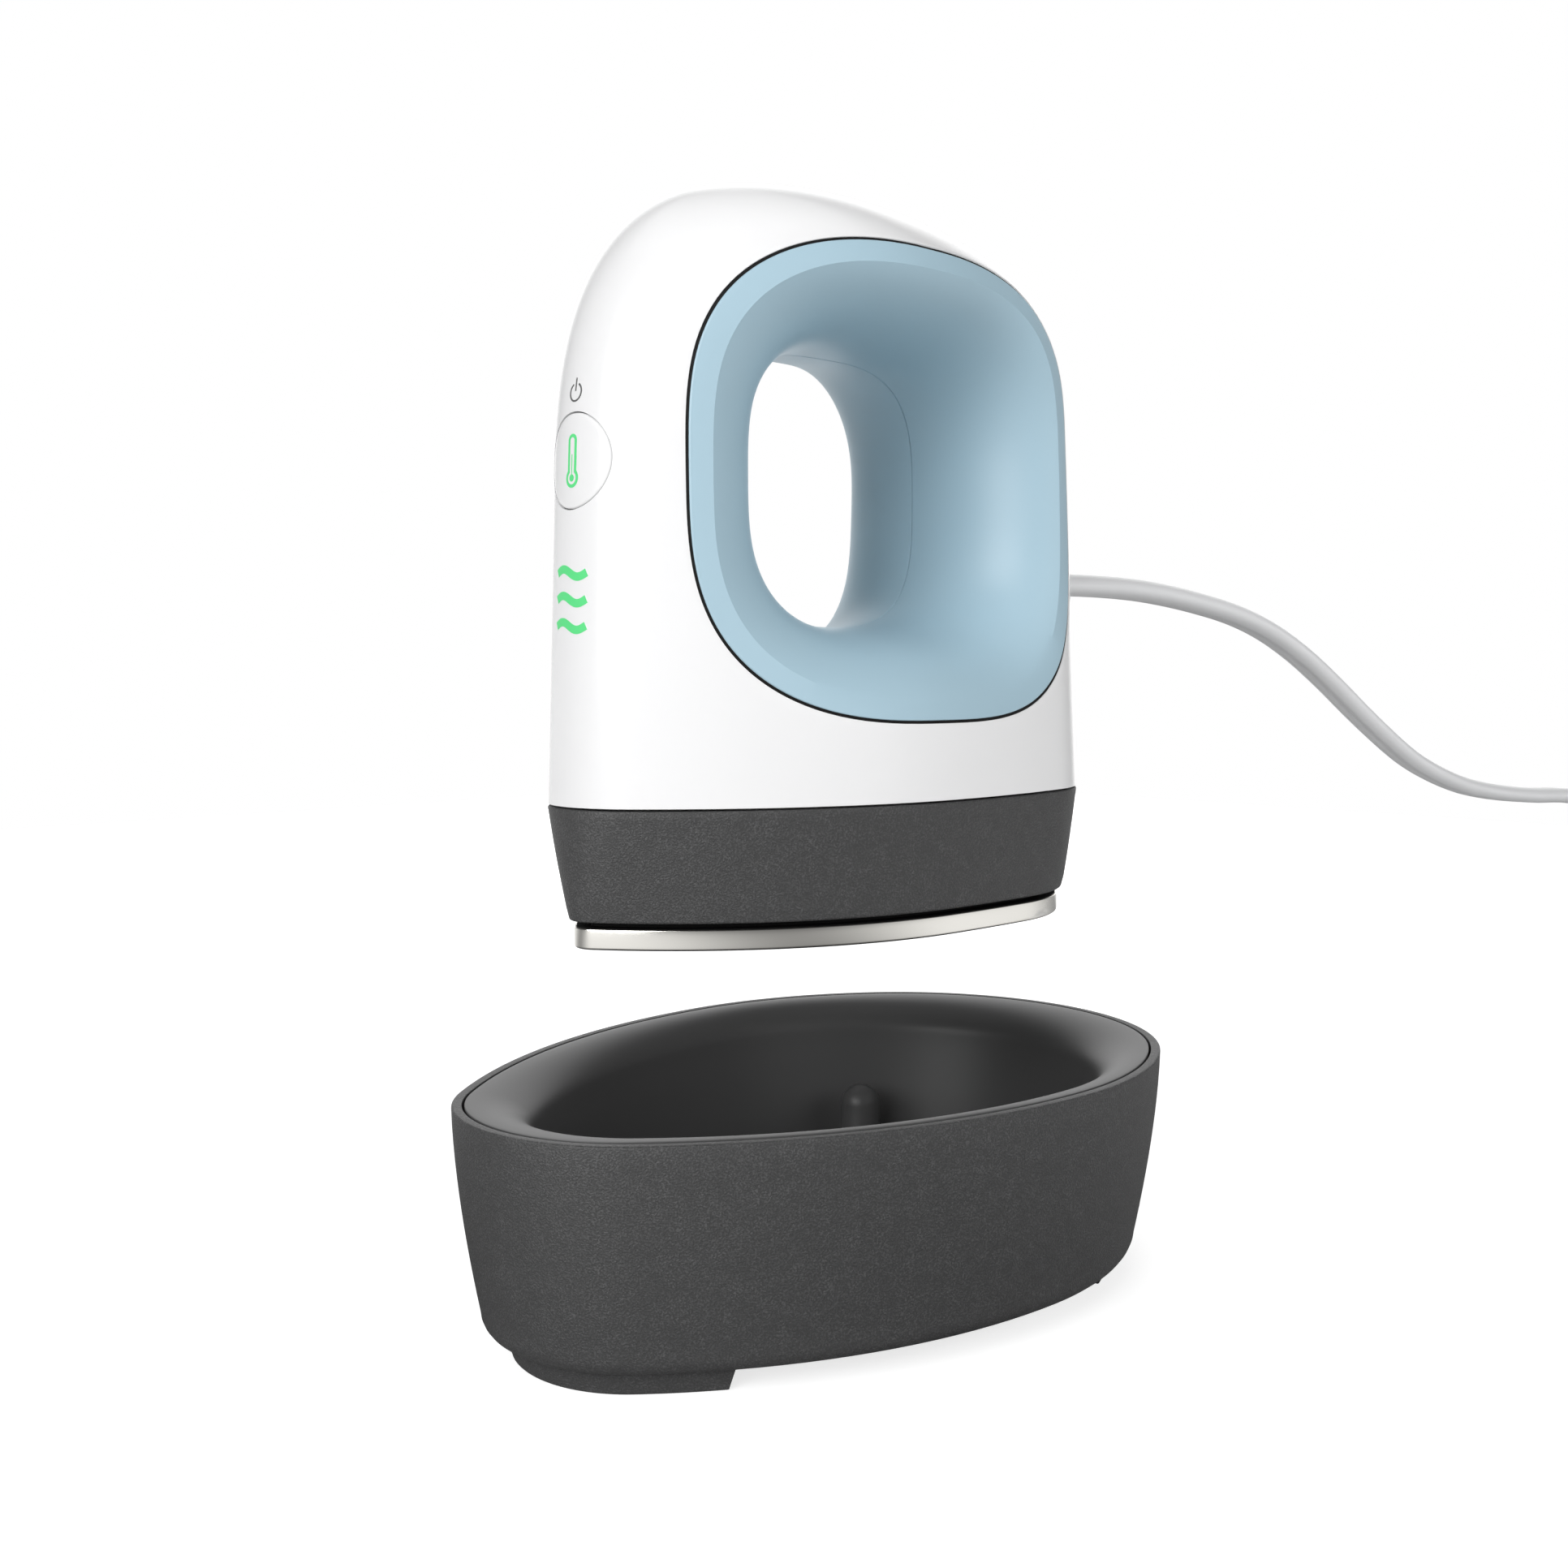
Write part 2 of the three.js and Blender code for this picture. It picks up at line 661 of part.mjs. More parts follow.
function heatPlate() {
  const edge = loft([
    planRing(insetPlan(platePlan, plateEdgeRound), 0),
    planRing(platePlan, plateEdgeRound),
    planRing(platePlan, plateEdge),
    planRing(insetPlan(platePlan, plateNeckInset), plateEdge),
    planRing(insetPlan(platePlan, plateNeckInset), plateTop),
  ]);
  const studs = studSpots.map(([x, y]) => post(x, y, plateTop - 1, studTop, 2 * studRadius));
  const bores = studSpots.map(([x, y]) => screwBore(x, y, plateEdge + 2, studTop + 1));
  return cut(join(edge, ...studs), ...bores, elementTube(elementDiameter + 2 * fitGap));
}

function slab(planOfSlab, z0, z1) {
  return loft([planRing(planOfSlab, z0), planRing(planOfSlab, z1)]);
}

// A sheet on top of the element, open at the tail for the element's raised ends.
function elementSheet(z0, thickness) {
  const sheet = slab(insetPlan(platePlan, stackInset), z0, z0 + thickness);
  const tailEnd = box(elementBack - windowMargin, shellTail, -plateWidth, plateWidth, 0, frameRim);
  return cut(sheet, tailEnd);
}

function heatShield() {
  const tray = slab(insetPlan(platePlan, plateNeckInset + 0.3), shieldBottom, shieldTop);
  const holes = studSpots.map(([x, y]) => screwBore(x, y, 0, frameRim));
  const heads = screwSpots.map(([x, y]) => post(x, y, 0, frameRim, screwHead + 2 * fitGap, 10));
  return cut(tray, terminalWindow(), ...holes, ...heads);
}

function innerFrame() {
  const rim = insetPlan(seamPlan, shellWall + fitGap);
  const wall = insetPlan(rim, frameWall);
  const tray = loft([
    planRing(insetPlan(wall, frameTaper), frameFloor),
    planRing(insetPlan(wall, frameTaper), frameFloor - 1),
    planRing(insetPlan(rim, frameTaper), frameFloor - 1),
    planRing(rim, shellSeam),
    planRing(rim, frameRim),
    planRing(wall, frameRim),
    planRing(wall, frameFloor + frameWall),
  ]);
  const spacers = studSpots.map(([x, y]) => post(x, y, shieldTop + fitGap, frameFloor + 0.5, 6));
  const standoffs = boardSpots.map(([x, y]) =>
    post(x, y, frameFloor + frameWall - 0.5, powerBoardZ - fitGap, 5, 8));
  const slot = [-1, 1].map((side) => {
    const near = controlBoardX + (side < 0 ? -fitGap : boardThickness + fitGap);
    const far = near + side * 1.5;
    return box(Math.min(near, far), Math.max(near, far), -5, 5, frameFloor + 1, frameFloor + 5);
  });
  const holes = [...studSpots, ...screwSpots].map(([x, y]) =>
    screwBore(x, y, 0, frameFloor + frameWall + 1));
  return cut(join(tray, ...spacers, ...standoffs, ...slot), terminalWindow(), ...holes);
}

// A fuse or sensor bead lying on the plate between the ends of the element.
function plateSensor(y, diameter) {
  const radius = diameter / 2;
  const middle = elementBack - 0.5;
  const profile = [
    [0, -4.6], [0.4, -4.6], [0.4, -3], [radius, -2.6], [radius, 2.6], [0.4, 3], [0.4, 4.6], [0, 4.6],
  ];
  return turned(profile, 8).rotateZ(-Math.PI / 2).translate(middle, y, plateTop + fitGap + radius);
}

function screwBore(x, y, z0, z1) {
  return post(x, y, z0, z1, screwShaft + 2 * fitGap, boreSides);
}

function screw(x, y, headZ, up, length) {
  const sign = up ? 1 : -1;
  const z = (a, b) => [Math.min(a, b), Math.max(a, b)];
  const head = post(x, y, ...z(headZ, headZ + sign * screwHeadHeight), screwHead, 8);
  const shaftStart = headZ + sign * (screwHeadHeight - 0.4);
  return join(head, post(x, y, ...z(shaftStart, shaftStart + sign * length), screwShaft, 6));
}

// Boards and what stands on them
const switchTip = controlBoardX - fitGap - switchDepth - 1.2;

function powerBoardSlab() {
  const { x0, x1, half } = powerBoard;
  return box(x0, x1, -half, half, powerBoardZ, powerBoardZ + boardThickness);
}

function relay() {
  const half = relayWidth / 2;
  return box(powerBoard.x0 + 4, block.x0 - 7.5, -half, half, boardTop, boardTop + relayHeight);
}

function terminalBlock() {
  const top = boardTop + blockHeight;
  const body = box(block.x0, block.x1, -block.half, block.half, boardTop, top);
  const wellPitch = blockWidth / 2 - 3;
  const wells = [-wellPitch, 0, wellPitch].map((y) =>
    post((block.x0 + block.x1) / 2, y, top - 2, top + 1, 3.2, 8));
  return cut(body, ...wells);
}

function controlBoardSlab() {
  const foot = frameFloor + frameWall + fitGap;
  const half = controlBoardWidth / 2;
  return box(
    controlBoardX, controlBoardX + boardThickness, -half, half, foot, buttonZ + controlBoardAboveButton,
  );
}

function buttonSwitch() {
  const back = controlBoardX - fitGap;
  const half = switchSize / 2;
  const body = box(back - switchDepth, back, -half, half, buttonZ - half, buttonZ + half);
  return join(body, rodAlongX(switchTip, back - switchDepth + 0.5, 0, buttonZ, 3.4, 10));
}

function lightGuide() {
  const back = controlBoardX - fitGap - ledDepth - fitGap;
  const half = 4;
  const spine = box(back - 1.4, back, -half, half, lightZ.at(-1) - 1.5, lightZ[0] + 1.5);
  const bars = lightZ.map((z) => box(shellNose, back - 1, -half, half, z - lightBarHalf, z + lightBarHalf));
  return keepInside(join(spine, ...bars), shellForm(shellSeam, shellWall + fitGap));
}

function led(y, z) {
  const back = controlBoardX - fitGap;
  return box(back - ledDepth, back, y - 1, y + 1, z - lightBarHalf, z + lightBarHalf);
}

// Cord outlet: a collar inside the wall, a neck through it and a tapered sleeve outside.
const bushCollar = wallAtCord - shellWall - 1.2;
const bushInner = bushCollar - 2.2;

function turned(profile, sides) {
  const points = profile.map(([r, h]) => new THREE.Vector2(Math.max(0, r), h));
  return new THREE.LatheGeometry(points, sides);
}

function cordBush() {
  const outer = wallAtCord + 0.6;
  const profile = [
    [0, bushInner],
    [5.6, bushInner],
    [5.6, bushCollar],
    [bushNeck / 2, bushCollar],
    [bushNeck / 2, outer],
    [bushFlange / 2, outer],
    [bushFlange / 2, outer + 0.6],
    [bushFlange / 2 - 0.6, outer + 1.2],
    [3.6, cordStart - fitGap],
    [0, cordStart - fitGap],
  ];
  return turned(profile, 16).rotateZ(-Math.PI / 2).translate(0, 0, cordZ);
}

const supplyStart = bushInner - fitGap;

function supplyCurve() {
  const top = boardTop + 4;
  return new THREE.CatmullRomCurve3([
    v3(supplyStart, 0, cordZ), v3(supplyStart - 4, 0, cordZ - 0.6), v3(supplyStart - 8, 0, cordZ - 6),
    v3(supplyStart - 9.5, 0, cordZ - 14), v3(supplyStart - 12, 0, top + 3),
    v3(supplyStart - 15, 0, top + 0.4), v3(block.x1 + fitGap, 0, top),
  ]);
}

const supplyTube = (diameter) => roundTube(supplyCurve(), 12, diameter, 6);

// A clip that grips the lead just inside the outlet.
function cordClip() {
  const length = 3;
  const profile = [[0, 0], [4, 0], [4, length], [0, length]];
  const ring = turned(profile, 12).rotateZ(-Math.PI / 2).translate(supplyStart - length, 0, cordZ);
  return cut(ring, supplyTube(supplyDiameter + 2 * fitGap));
}

function heaterLead(side) {
  const y = side * elementBend;
  return roundTube(
    new THREE.CatmullRomCurve3([
      v3(elementBack, y, elementTop + fitGap), v3(elementBack, y, elementTop + 3),
      v3(elementBack - 2.4, y * 0.8, boardTop + 2.9), v3(block.x1 + 2, y * 0.62, boardTop + 3.2),
      v3(block.x1 + fitGap, y * 0.62, boardTop + 3.2),
    ]),
    10, leadDiameter, 6,
  );
}

// Stand: the plan of each face at a height below the rim.
const rimZ = -rimBelow;
function standInset(z) {
  const depth = Math.max(0, (rimZ - z) / (standFloor - rimBelow));
  return standTaper * depth ** 1.6;
}

function standShell() {
  const floor = -standFloor;
  const sideLevels = [0.25, 0.5, 0.75].map((t) => rimZ - (standFloor - rimBelow - bottomRound) * t);
  const corner = [0, 0.5, 1].map((t) => (Math.PI / 2) * t);
  const cornerInset = standInset(floor + bottomRound);
  const cornerRing = (t, round, thickness) =>
    planRing(
      insetPlan(rimPlan, cornerInset + thickness + round * (1 - Math.cos(t))),
      floor + thickness + round - round * Math.sin(t),
    );
  const rimEdge = 0.5;
  const outside = [
    ...corner.map((t) => cornerRing(t, bottomRound, 0)).reverse(),
    ...sideLevels.reverse().map((z) => planRing(insetPlan(rimPlan, standInset(z)), z)),
    planRing(rimPlan, rimZ - rimEdge),
    planRing(insetPlan(rimPlan, rimEdge * 0.6), rimZ),
  ];
  const inside = [
    planRing(insetPlan(rimPlan, rimWidth), rimZ),
    planRing(insetPlan(rimPlan, rimWidth), rimZ - 3),
    planRing(insetPlan(rimPlan, standInset(rimZ - 14) + standWall), rimZ - 14),
    ...corner.map((t) => cornerRing(t, bottomRound - standWall, standWall)),
  ];
  const holes = standScrewSpots.map(([x, y]) => screwBore(x, y, floor - 1, floor + standWall + 1));
  return cut(loft([...outside, ...inside]), ...holes);
}

// Liner: from its underside up to the gap at the rim, over the wide lip and down into the bowl.
function standLiner() {
  const edge = rimWidth + fitGap;
  const underside = -standFloor + standWall + linerFloorGap;
  const floor = underside + linerWall;
  const lip = [0, 0.25, 0.5, 0.75, 1].map((t) => (Math.PI / 2) * t);
  const lipEdge = edge + 0.8;
  const wallTop = rimZ - lipRadius;
  const wallInset = lipEdge + lipRadius;
  const bowlInset = wallInset + linerLean;
  const floorArc = [0, 0.5, 1].map((t) => (Math.PI / 2) * t);
  const rings = [
    [bowlInset - linerWall + linerFloorRound + 1, underside],
    [bowlInset - linerWall + 1, underside + linerFloorRound],
    [wallInset - linerWall + 0.4, wallTop - 3],
    [edge + 1.6, rimZ - 3],
    [edge, rimZ - 2.4],
    [edge, rimZ - 0.4],
    ...lip.map((t) => [lipEdge + lipRadius * Math.sin(t), wallTop + lipRadius * Math.cos(t)]),
    ...floorArc.map((t) => [
      bowlInset + linerFloorRound * (1 - Math.cos(t)),
      floor + linerFloorRound * (1 - Math.sin(t)),
    ]),
  ];
  const body = loft(rings.map(([inset, z]) => planRing(insetPlan(rimPlan, inset), z)));
  const bosses = standScrewSpots.map(([x, y]) =>
    post(x, y, -standFloor + standWall + fitGap, underside + 0.5, bossDiameter));
  const bores = standScrewSpots.map(([x, y]) => screwBore(x, y, -standFloor, underside + 1.2));
  return cut(join(body, ...bosses), ...bores);
}

function restPin(x, y) {
  const floor = -standFloor + standWall + linerFloorGap + linerWall + fitGap;
  const radius = pinDiameter / 2;
  const top = -pressLift - fitGap;
  const dome = [0, 0.25, 0.5, 0.75].map((t) => (Math.PI / 2) * t);
  const profile = [
    [0, floor],
    [radius + 0.5, floor],
    [radius, floor + 1],
    ...dome.map((t) => [radius * Math.cos(t), top - radius + radius * Math.sin(t)]),
    [0, top],
  ];
  return turned(profile, 16).rotateX(Math.PI / 2).translate(x, y, 0);
}

function standFootPad(from, to) {
  const top = -standFloor - fitGap;
  const whole = loft([
    planRing(insetPlan(rimPlan, standTaper + footInset + footDraft), -standFoot),
    planRing(insetPlan(rimPlan, standTaper + footInset), top),
  ]);
  return keepInside(whole, box(from, to, -standWidth, standWidth, -standFoot - 1, top + 1));
}

// Cord: out of the tail and sagging along, then down to the table and into the coil.
const tableCord = -standFoot + cordThickness / 2 + 0.1;
const cordRoute = [
  [cordStart, 0, cordZ], [58.6, 0, 49.1], [68, 0, 49.1], [78, 0, 48.8], [88, 0, 48],
  [98, 0, 46.8], [108.5, 0, 45.1], [119.5, 0, 42.3], [131.5, 0, 37.8], [143.5, 0, 32.1],
  [153.7, 0, 26.8], [164.5, 0, 21.5], [175.5, 0, 16.6], [187, 0, 12.8], [202, 0, 9.2],
  [221.5, 0, 6.6], [240, 0, 5.1], [256, -0.4, 4.2], [270, -4, 1.6], [284, -13, -6], [294, -27, -18],
  [298.5, -44, -32], [297, -62, -42], [289.5, -79, -48.5], [276, -93.5, -51.4],
  [259, -102.6, tableCord], [240, -104, tableCord], [224, -98.5, tableCord],
  [212.5, -87, tableCord],
];
const cordSteps = 58;
const cordSides = 8;

const coilOuterRadius = coilInnerRadius + coilPitch * coilLoopsPerLayer;
const coilStartAngle = Math.PI;

// The turns run clockwise. Each layer spirals the other way from the one below, and the climb
// takes the half turn around the place where the spiral turns back.
function coilPoint(turn) {
  const along = turn / coilLoopsPerLayer;
  const layer = Math.min(coilLayers - 1, Math.floor(along));
  const within = along - layer;
  const outward = layer % 2 ? within : 1 - within;
  const radius = coilInnerRadius + (coilOuterRadius - coilInnerRadius) * outward;
  const nearest = Math.round(along);
  const climbed = (along - nearest) * coilLoopsPerLayer * 2 + 0.5;
  const climbing = nearest > 0 && nearest < coilLayers && climbed > 0 && climbed < 1;
  const level = climbing ? nearest - 1 + (1 - Math.cos(Math.PI * climbed)) / 2 : layer;
  const angle = coilStartAngle - 2 * Math.PI * turn;
  return v3(
    coilCentre[0] + radius * Math.cos(angle),
    coilCentre[1] + radius * Math.sin(angle),
    tableCord + coilLayerPitch * level,
  );
}

const coilTurns = coilLoopsPerLayer * coilLayers;
const stepsPerLoop = 24;

// The tangent at either end, for the straight stretch that meets the next piece of cord.
function coilEnd(turn, outward) {
  const tip = coilPoint(turn);
  const inner = coilPoint(turn - outward * 0.01);
  return tip.clone().add(tip.clone().sub(inner).setZ(0).setLength(cordWidth));
}

function coilCurve() {
  const steps = Math.round(coilTurns * stepsPerLoop);
  const turns = Array.from({ length: steps + 1 }, (_, i) => coilPoint((coilTurns * i) / steps));
  return new THREE.CatmullRomCurve3([coilEnd(0, -1), ...turns, coilEnd(coilTurns, 1)]);
}

function coilTube() {
  const steps = Math.round(coilTurns * stepsPerLoop) + 2;
  return levelTube(coilCurve(), steps, cordWidth, cordThickness, 6);
}

// Least gap between turns, from the oval sections of each pair of neighbouring centre points.
function leastCoilGap() {
  const spacing = 1.5;
  const curve = coilCurve();
  const points = curve.getSpacedPoints(Math.round(curve.getLength() / spacing));
  const apart = Math.round((Math.PI * coilInnerRadius) / spacing);
  const outline = Array.from({ length: 24 }, (_, i) => {
    const t = (2 * Math.PI * i) / 24;
    return [(cordWidth / 2) * Math.cos(t), (cordThickness / 2) * Math.sin(t)];
  });
  let least = Infinity;
  points.forEach((p, i) => {
    for (let j = i + apart; j < points.length; j++) {
      if (p.distanceTo(points[j]) > 1.5 * cordWidth) continue;
      const across = Math.hypot(p.x - points[j].x, p.y - points[j].y);
      const up = Math.abs(p.z - points[j].z);
      for (const [a, b] of outline) {
        for (const [c, d] of outline) least = Math.min(least, Math.hypot(across + c - a, up + d - b));
      }
    }
  });
  return least;
}

function cordTube() {
  const start = coilEnd(0, -1);
  const towards = coilPoint(0).sub(start).normalize();
  const end = start.clone().addScaledVector(towards, -fitGap);
  const before = end.clone().addScaledVector(towards, -cordWidth);
  const route = [...cordRoute.map(([x, y, z]) => v3(x, y, z)), before, end];
  return levelTube(new THREE.CatmullRomCurve3(route), cordSteps, cordWidth, cordThickness, cordSides);
}

// Plug: it lies beside the coil with its blades pointing away along -X.
const plugBack = 190;
const plugY = -91;
const plugZ = -standFoot + plugThickness / 2 + 0.1;

function cordEnd() {
  const tip = coilEnd(coilTurns, 1);
  const away = tip.clone().sub(coilPoint(coilTurns)).normalize();
  const start = tip.clone().addScaledVector(away, fitGap);
  const route = [
    start,
    start.clone().addScaledVector(away, 5).add(v3(0, 0.3, -0.3)),
    v3(222, -96.5, plugZ + 5), v3(209, -93, plugZ + 1.6), v3(198, -91.3, plugZ + 0.1),
    v3(plugBack + fitGap, plugY, plugZ),
  ];
  return levelTube(new THREE.CatmullRomCurve3(route), 12, cordWidth, cordThickness, cordSides);
}

function plugRing(x, wide, tall, squareness) {
  return Array.from({ length: 24 }, (_, i) => {
    const t = (2 * Math.PI * (i + 0.5)) / 24;
    const [y, z] = ovalPoint(t, plugY, plugZ, wide, tall, squareness);
    return v3(x, y, z);
  });
}

const bladeSides = [-1, 1];

function plugBlade(side, grow = 0) {
  const front = plugBack - plugLength;
  const y = plugY + (side * bladeSpacing) / 2;
  const blade = box(
    front - bladeLength, front + 5 + grow,
    y - bladeThickness / 2 - grow, y + bladeThickness / 2 + grow,
    plugZ - bladeHeight / 2 - grow, plugZ + bladeHeight / 2 + grow,
  );
  const hole = new THREE.CylinderGeometry(1.6, 1.6, 4, 12).translate(front - bladeLength + 3.6, y, plugZ);
  return grow ? blade : cut(blade, hole);
}

function plugBody() {
  const front = plugBack - plugLength;
  const body = loft([
    plugRing(plugBack, cordWidth + 2, cordThickness + 2.5, 2.2),
    plugRing(plugBack - 12, cordWidth + 5, cordThickness + 6, 2.4),
    plugRing(plugBack - 15, plugWidth * 0.72, plugThickness * 0.82, 3),
    plugRing(plugBack - 19, plugWidth * 0.95, plugThickness * 0.97, 3.6),
    plugRing(plugBack - 24, plugWidth, plugThickness, 4),
    plugRing(front + 1, plugWidth, plugThickness, 4),
    plugRing(front, plugWidth - 1.6, plugThickness - 1.6, 4),
  ]);
  return cut(body, ...bladeSides.map((side) => plugBlade(side, fitGap)));
}

// Assembly, from the hot face up
addMesh("heat_plate", heatPlate(), castAlloy);
addMesh("heating_element", elementTube(elementDiameter), steel);
addMesh("element_clamp", elementSheet(clampBottom, clampThickness), steel);
addMesh("insulation_pad", elementSheet(padBottom, padThickness), mica);
addMesh("heat_shield", heatShield(), steel);
addMesh("thermal_fuse", plateSensor(3.2, 3.2), mica);
addMesh("thermistor", plateSensor(-3.2, 2.4), clearPlastic);
addMesh("band", band(), charcoal);
addMesh("inner_frame", innerFrame(), innerPlastic);

addMesh("power_board", powerBoardSlab(), boardGreen);
addMesh("relay", relay(), darkPlastic);
addMesh("terminal_block", terminalBlock(), darkPlastic);
addMesh("control_board", controlBoardSlab(), boardGreen);
addMesh("button_switch", buttonSwitch(), darkPlastic);
addMesh("light_guide", lightGuide(), clearPlastic);
[...lightZ.map((z) => [0, z]), [ledAside, buttonZ]].forEach(([y, z], i) => {
  addMesh(`led_${i + 1}`, led(y, z), greenLight);
});
addMesh("supply_lead", supplyTube(supplyDiameter), cordGrey);
addMesh("cord_clip", cordClip(), steel);
addMesh("heater_lead_near", heaterLead(-1), darkPlastic);
addMesh("heater_lead_far", heaterLead(1), darkPlastic);

studSpots.forEach(([x, y], i) => {
  const top = frameFloor + frameWall + fitGap + screwHeadHeight;
  addMesh(`plate_screw_${i + 1}`, screw(x, y, top, false, plateScrewLength), steel);
});
screwSpots.forEach(([x, y], i) => {
  const bottom = frameFloor - fitGap - screwHeadHeight;
  addMesh(`shell_screw_${i + 1}`, screw(x, y, bottom, true, shellScrewLength), steel);
});

addMesh("outer_shell", outerShell(), glossWhite);
addMesh("grip_insert_near", gripInsert(-1), softBlue);
addMesh("grip_insert_far", gripInsert(1), softBlue);
addMesh("power_button", powerButton(), glossWhite);
addMesh("cord_bush", cordBush(), cordGrey);

addMesh("cord", cordTube(), cordGrey);
addMesh("cord_coil", coilTube(), cordGrey);
addMesh("cord_end", cordEnd(), cordGrey);
addMesh("plug_body", plugBody(), cordGrey);
bladeSides.forEach((side, i) => addMesh(`plug_blade_${i + 1}`, plugBlade(side), brass));

addMesh("stand_shell", standShell(), charcoal);
addMesh("stand_liner", standLiner(), charcoalSatin);
pinSpots.forEach(([x, y], i) => addMesh(`rest_pin_${i + 1}`, restPin(x, y), charcoalSatin));
addMesh("stand_foot_front", standFootPad(2 * standNose, standNose + frontFootReach), darkPlastic);
addMesh("stand_foot_back", standFootPad(standTail - backFootReach, 2 * standTail), darkPlastic);
standScrewSpots.forEach(([x, y], i) => {
  const bottom = -standFloor - fitGap - screwHeadHeight;
  addMesh(`stand_screw_${i + 1}`, screw(x, y, bottom, true, standScrewLength), steel);
});

console.log(`least gap between the turns of the coil: ${leastCoilGap().toFixed(2)} mm`);

export default object;
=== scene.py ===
"""Looks of a hand-held mini heat press, raised above its resting stand.

Sizes are written in millimetres in the press's own frame: X from the nose to the tail, Z up from
the hot face of the plate, Y = 0 the mirror plane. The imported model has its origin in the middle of
the hand hole, so every mesh is shifted there and scaled to metres as it is made.
"""

import json
import logging
import math
from dataclasses import dataclass, replace
from enum import Enum
from typing import Callable, Iterable, Sequence

import bmesh
import bpy
from mathutils import Euler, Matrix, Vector

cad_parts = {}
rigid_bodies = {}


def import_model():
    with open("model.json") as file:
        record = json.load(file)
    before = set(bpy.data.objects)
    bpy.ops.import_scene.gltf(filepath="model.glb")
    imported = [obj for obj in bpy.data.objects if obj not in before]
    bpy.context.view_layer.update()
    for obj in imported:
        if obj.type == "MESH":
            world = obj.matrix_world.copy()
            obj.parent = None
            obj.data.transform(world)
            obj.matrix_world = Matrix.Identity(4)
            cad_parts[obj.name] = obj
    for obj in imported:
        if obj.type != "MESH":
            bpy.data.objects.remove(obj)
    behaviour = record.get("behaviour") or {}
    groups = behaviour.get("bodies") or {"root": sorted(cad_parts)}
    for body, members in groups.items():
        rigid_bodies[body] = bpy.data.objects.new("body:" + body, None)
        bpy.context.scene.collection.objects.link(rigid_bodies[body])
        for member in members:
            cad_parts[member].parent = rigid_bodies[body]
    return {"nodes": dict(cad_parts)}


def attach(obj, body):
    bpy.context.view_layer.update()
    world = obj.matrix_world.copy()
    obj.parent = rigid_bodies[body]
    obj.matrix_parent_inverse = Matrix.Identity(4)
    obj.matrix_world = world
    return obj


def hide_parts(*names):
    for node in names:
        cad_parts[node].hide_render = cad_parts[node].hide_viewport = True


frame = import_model()

LOG = logging.getLogger("mini_heat_press")
MM = 0.001
HAND_HOLE = Vector((4.15, 0.0, 60.0))
TABLE = -53.8
WHITE = (1.0, 1.0, 1.0, 1.0)

Point = tuple[float, float, float]
Ring = list[Vector]


class Body(Enum):
    """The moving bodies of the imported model."""

    PRESS = "press"
    BUTTON = "button"
    STAND = "stand"


class Slot(Enum):
    """The record's material slots."""

    SHELL = "white_shell"
    GRIP = "blue_grip"
    CHARCOAL = "charcoal"
    SATIN = "charcoal_satin"
    ALLOY = "heat_alloy"
    STEEL = "steel"
    BRASS = "plug_brass"
    MICA = "mica_board"
    FRAME = "inner_plastic"
    BOARD = "circuit_board"
    DARK = "dark_plastic"
    CLEAR = "clear_plastic"
    LIGHT = "green_light"
    CORD = "cord_grey"
    RUBBER = "foot_rubber"


def placed(point: Sequence[float]) -> Vector:
    """A point of the press's own frame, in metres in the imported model's frame."""
    return (Vector(point) - HAND_HOLE) * MM


# Outlines


@dataclass(frozen=True)
class Quarter:
    """One quarter of an outline: a side arc that runs tangent into an end arc."""

    length: float
    half: float
    radius: float

    @property
    def end(self) -> float:
        """Radius of the end arc, kept inside the quarter."""
        return max(0.02, min(self.radius, self.length * 0.98, self.half * 0.98))

    @property
    def reach(self) -> float:
        """Distance from the widest place to the end arc's centre."""
        return max(self.length, self.half * 1.001) - self.end

    @property
    def side(self) -> float:
        """Radius of the side arc."""
        return (self.reach**2 + self.half**2 - self.end**2) / (2 * (self.half - self.end))

    @property
    def join(self) -> float:
        """Angle at which the two arcs meet."""
        return math.atan2(self.side - self.half, self.reach)

    def points(self, side_steps: int, end_steps: int) -> list[tuple[float, float]]:
        """Points from the widest place to the tip, as (distance, half width)."""
        found = []
        for i in range(side_steps):
            t = math.pi / 2 + (self.join - math.pi / 2) * i / side_steps
            found.append((self.side * math.cos(t), self.half - self.side + self.side * math.sin(t)))
        for i in range(end_steps + 1):
            t = self.join * (1 - i / end_steps)
            found.append((self.reach + self.end * math.cos(t), self.end * math.sin(t)))
        return found

    def half_at(self, distance: float) -> float:
        """Half width at a distance from the widest place."""
        if distance >= self.length:
            return 0.0
        if distance < self.side * math.cos(self.join):
            return math.sqrt(self.side**2 - distance**2) - (self.side - self.half)
        return math.sqrt(max(0.0, self.end**2 - (distance - self.reach) ** 2))


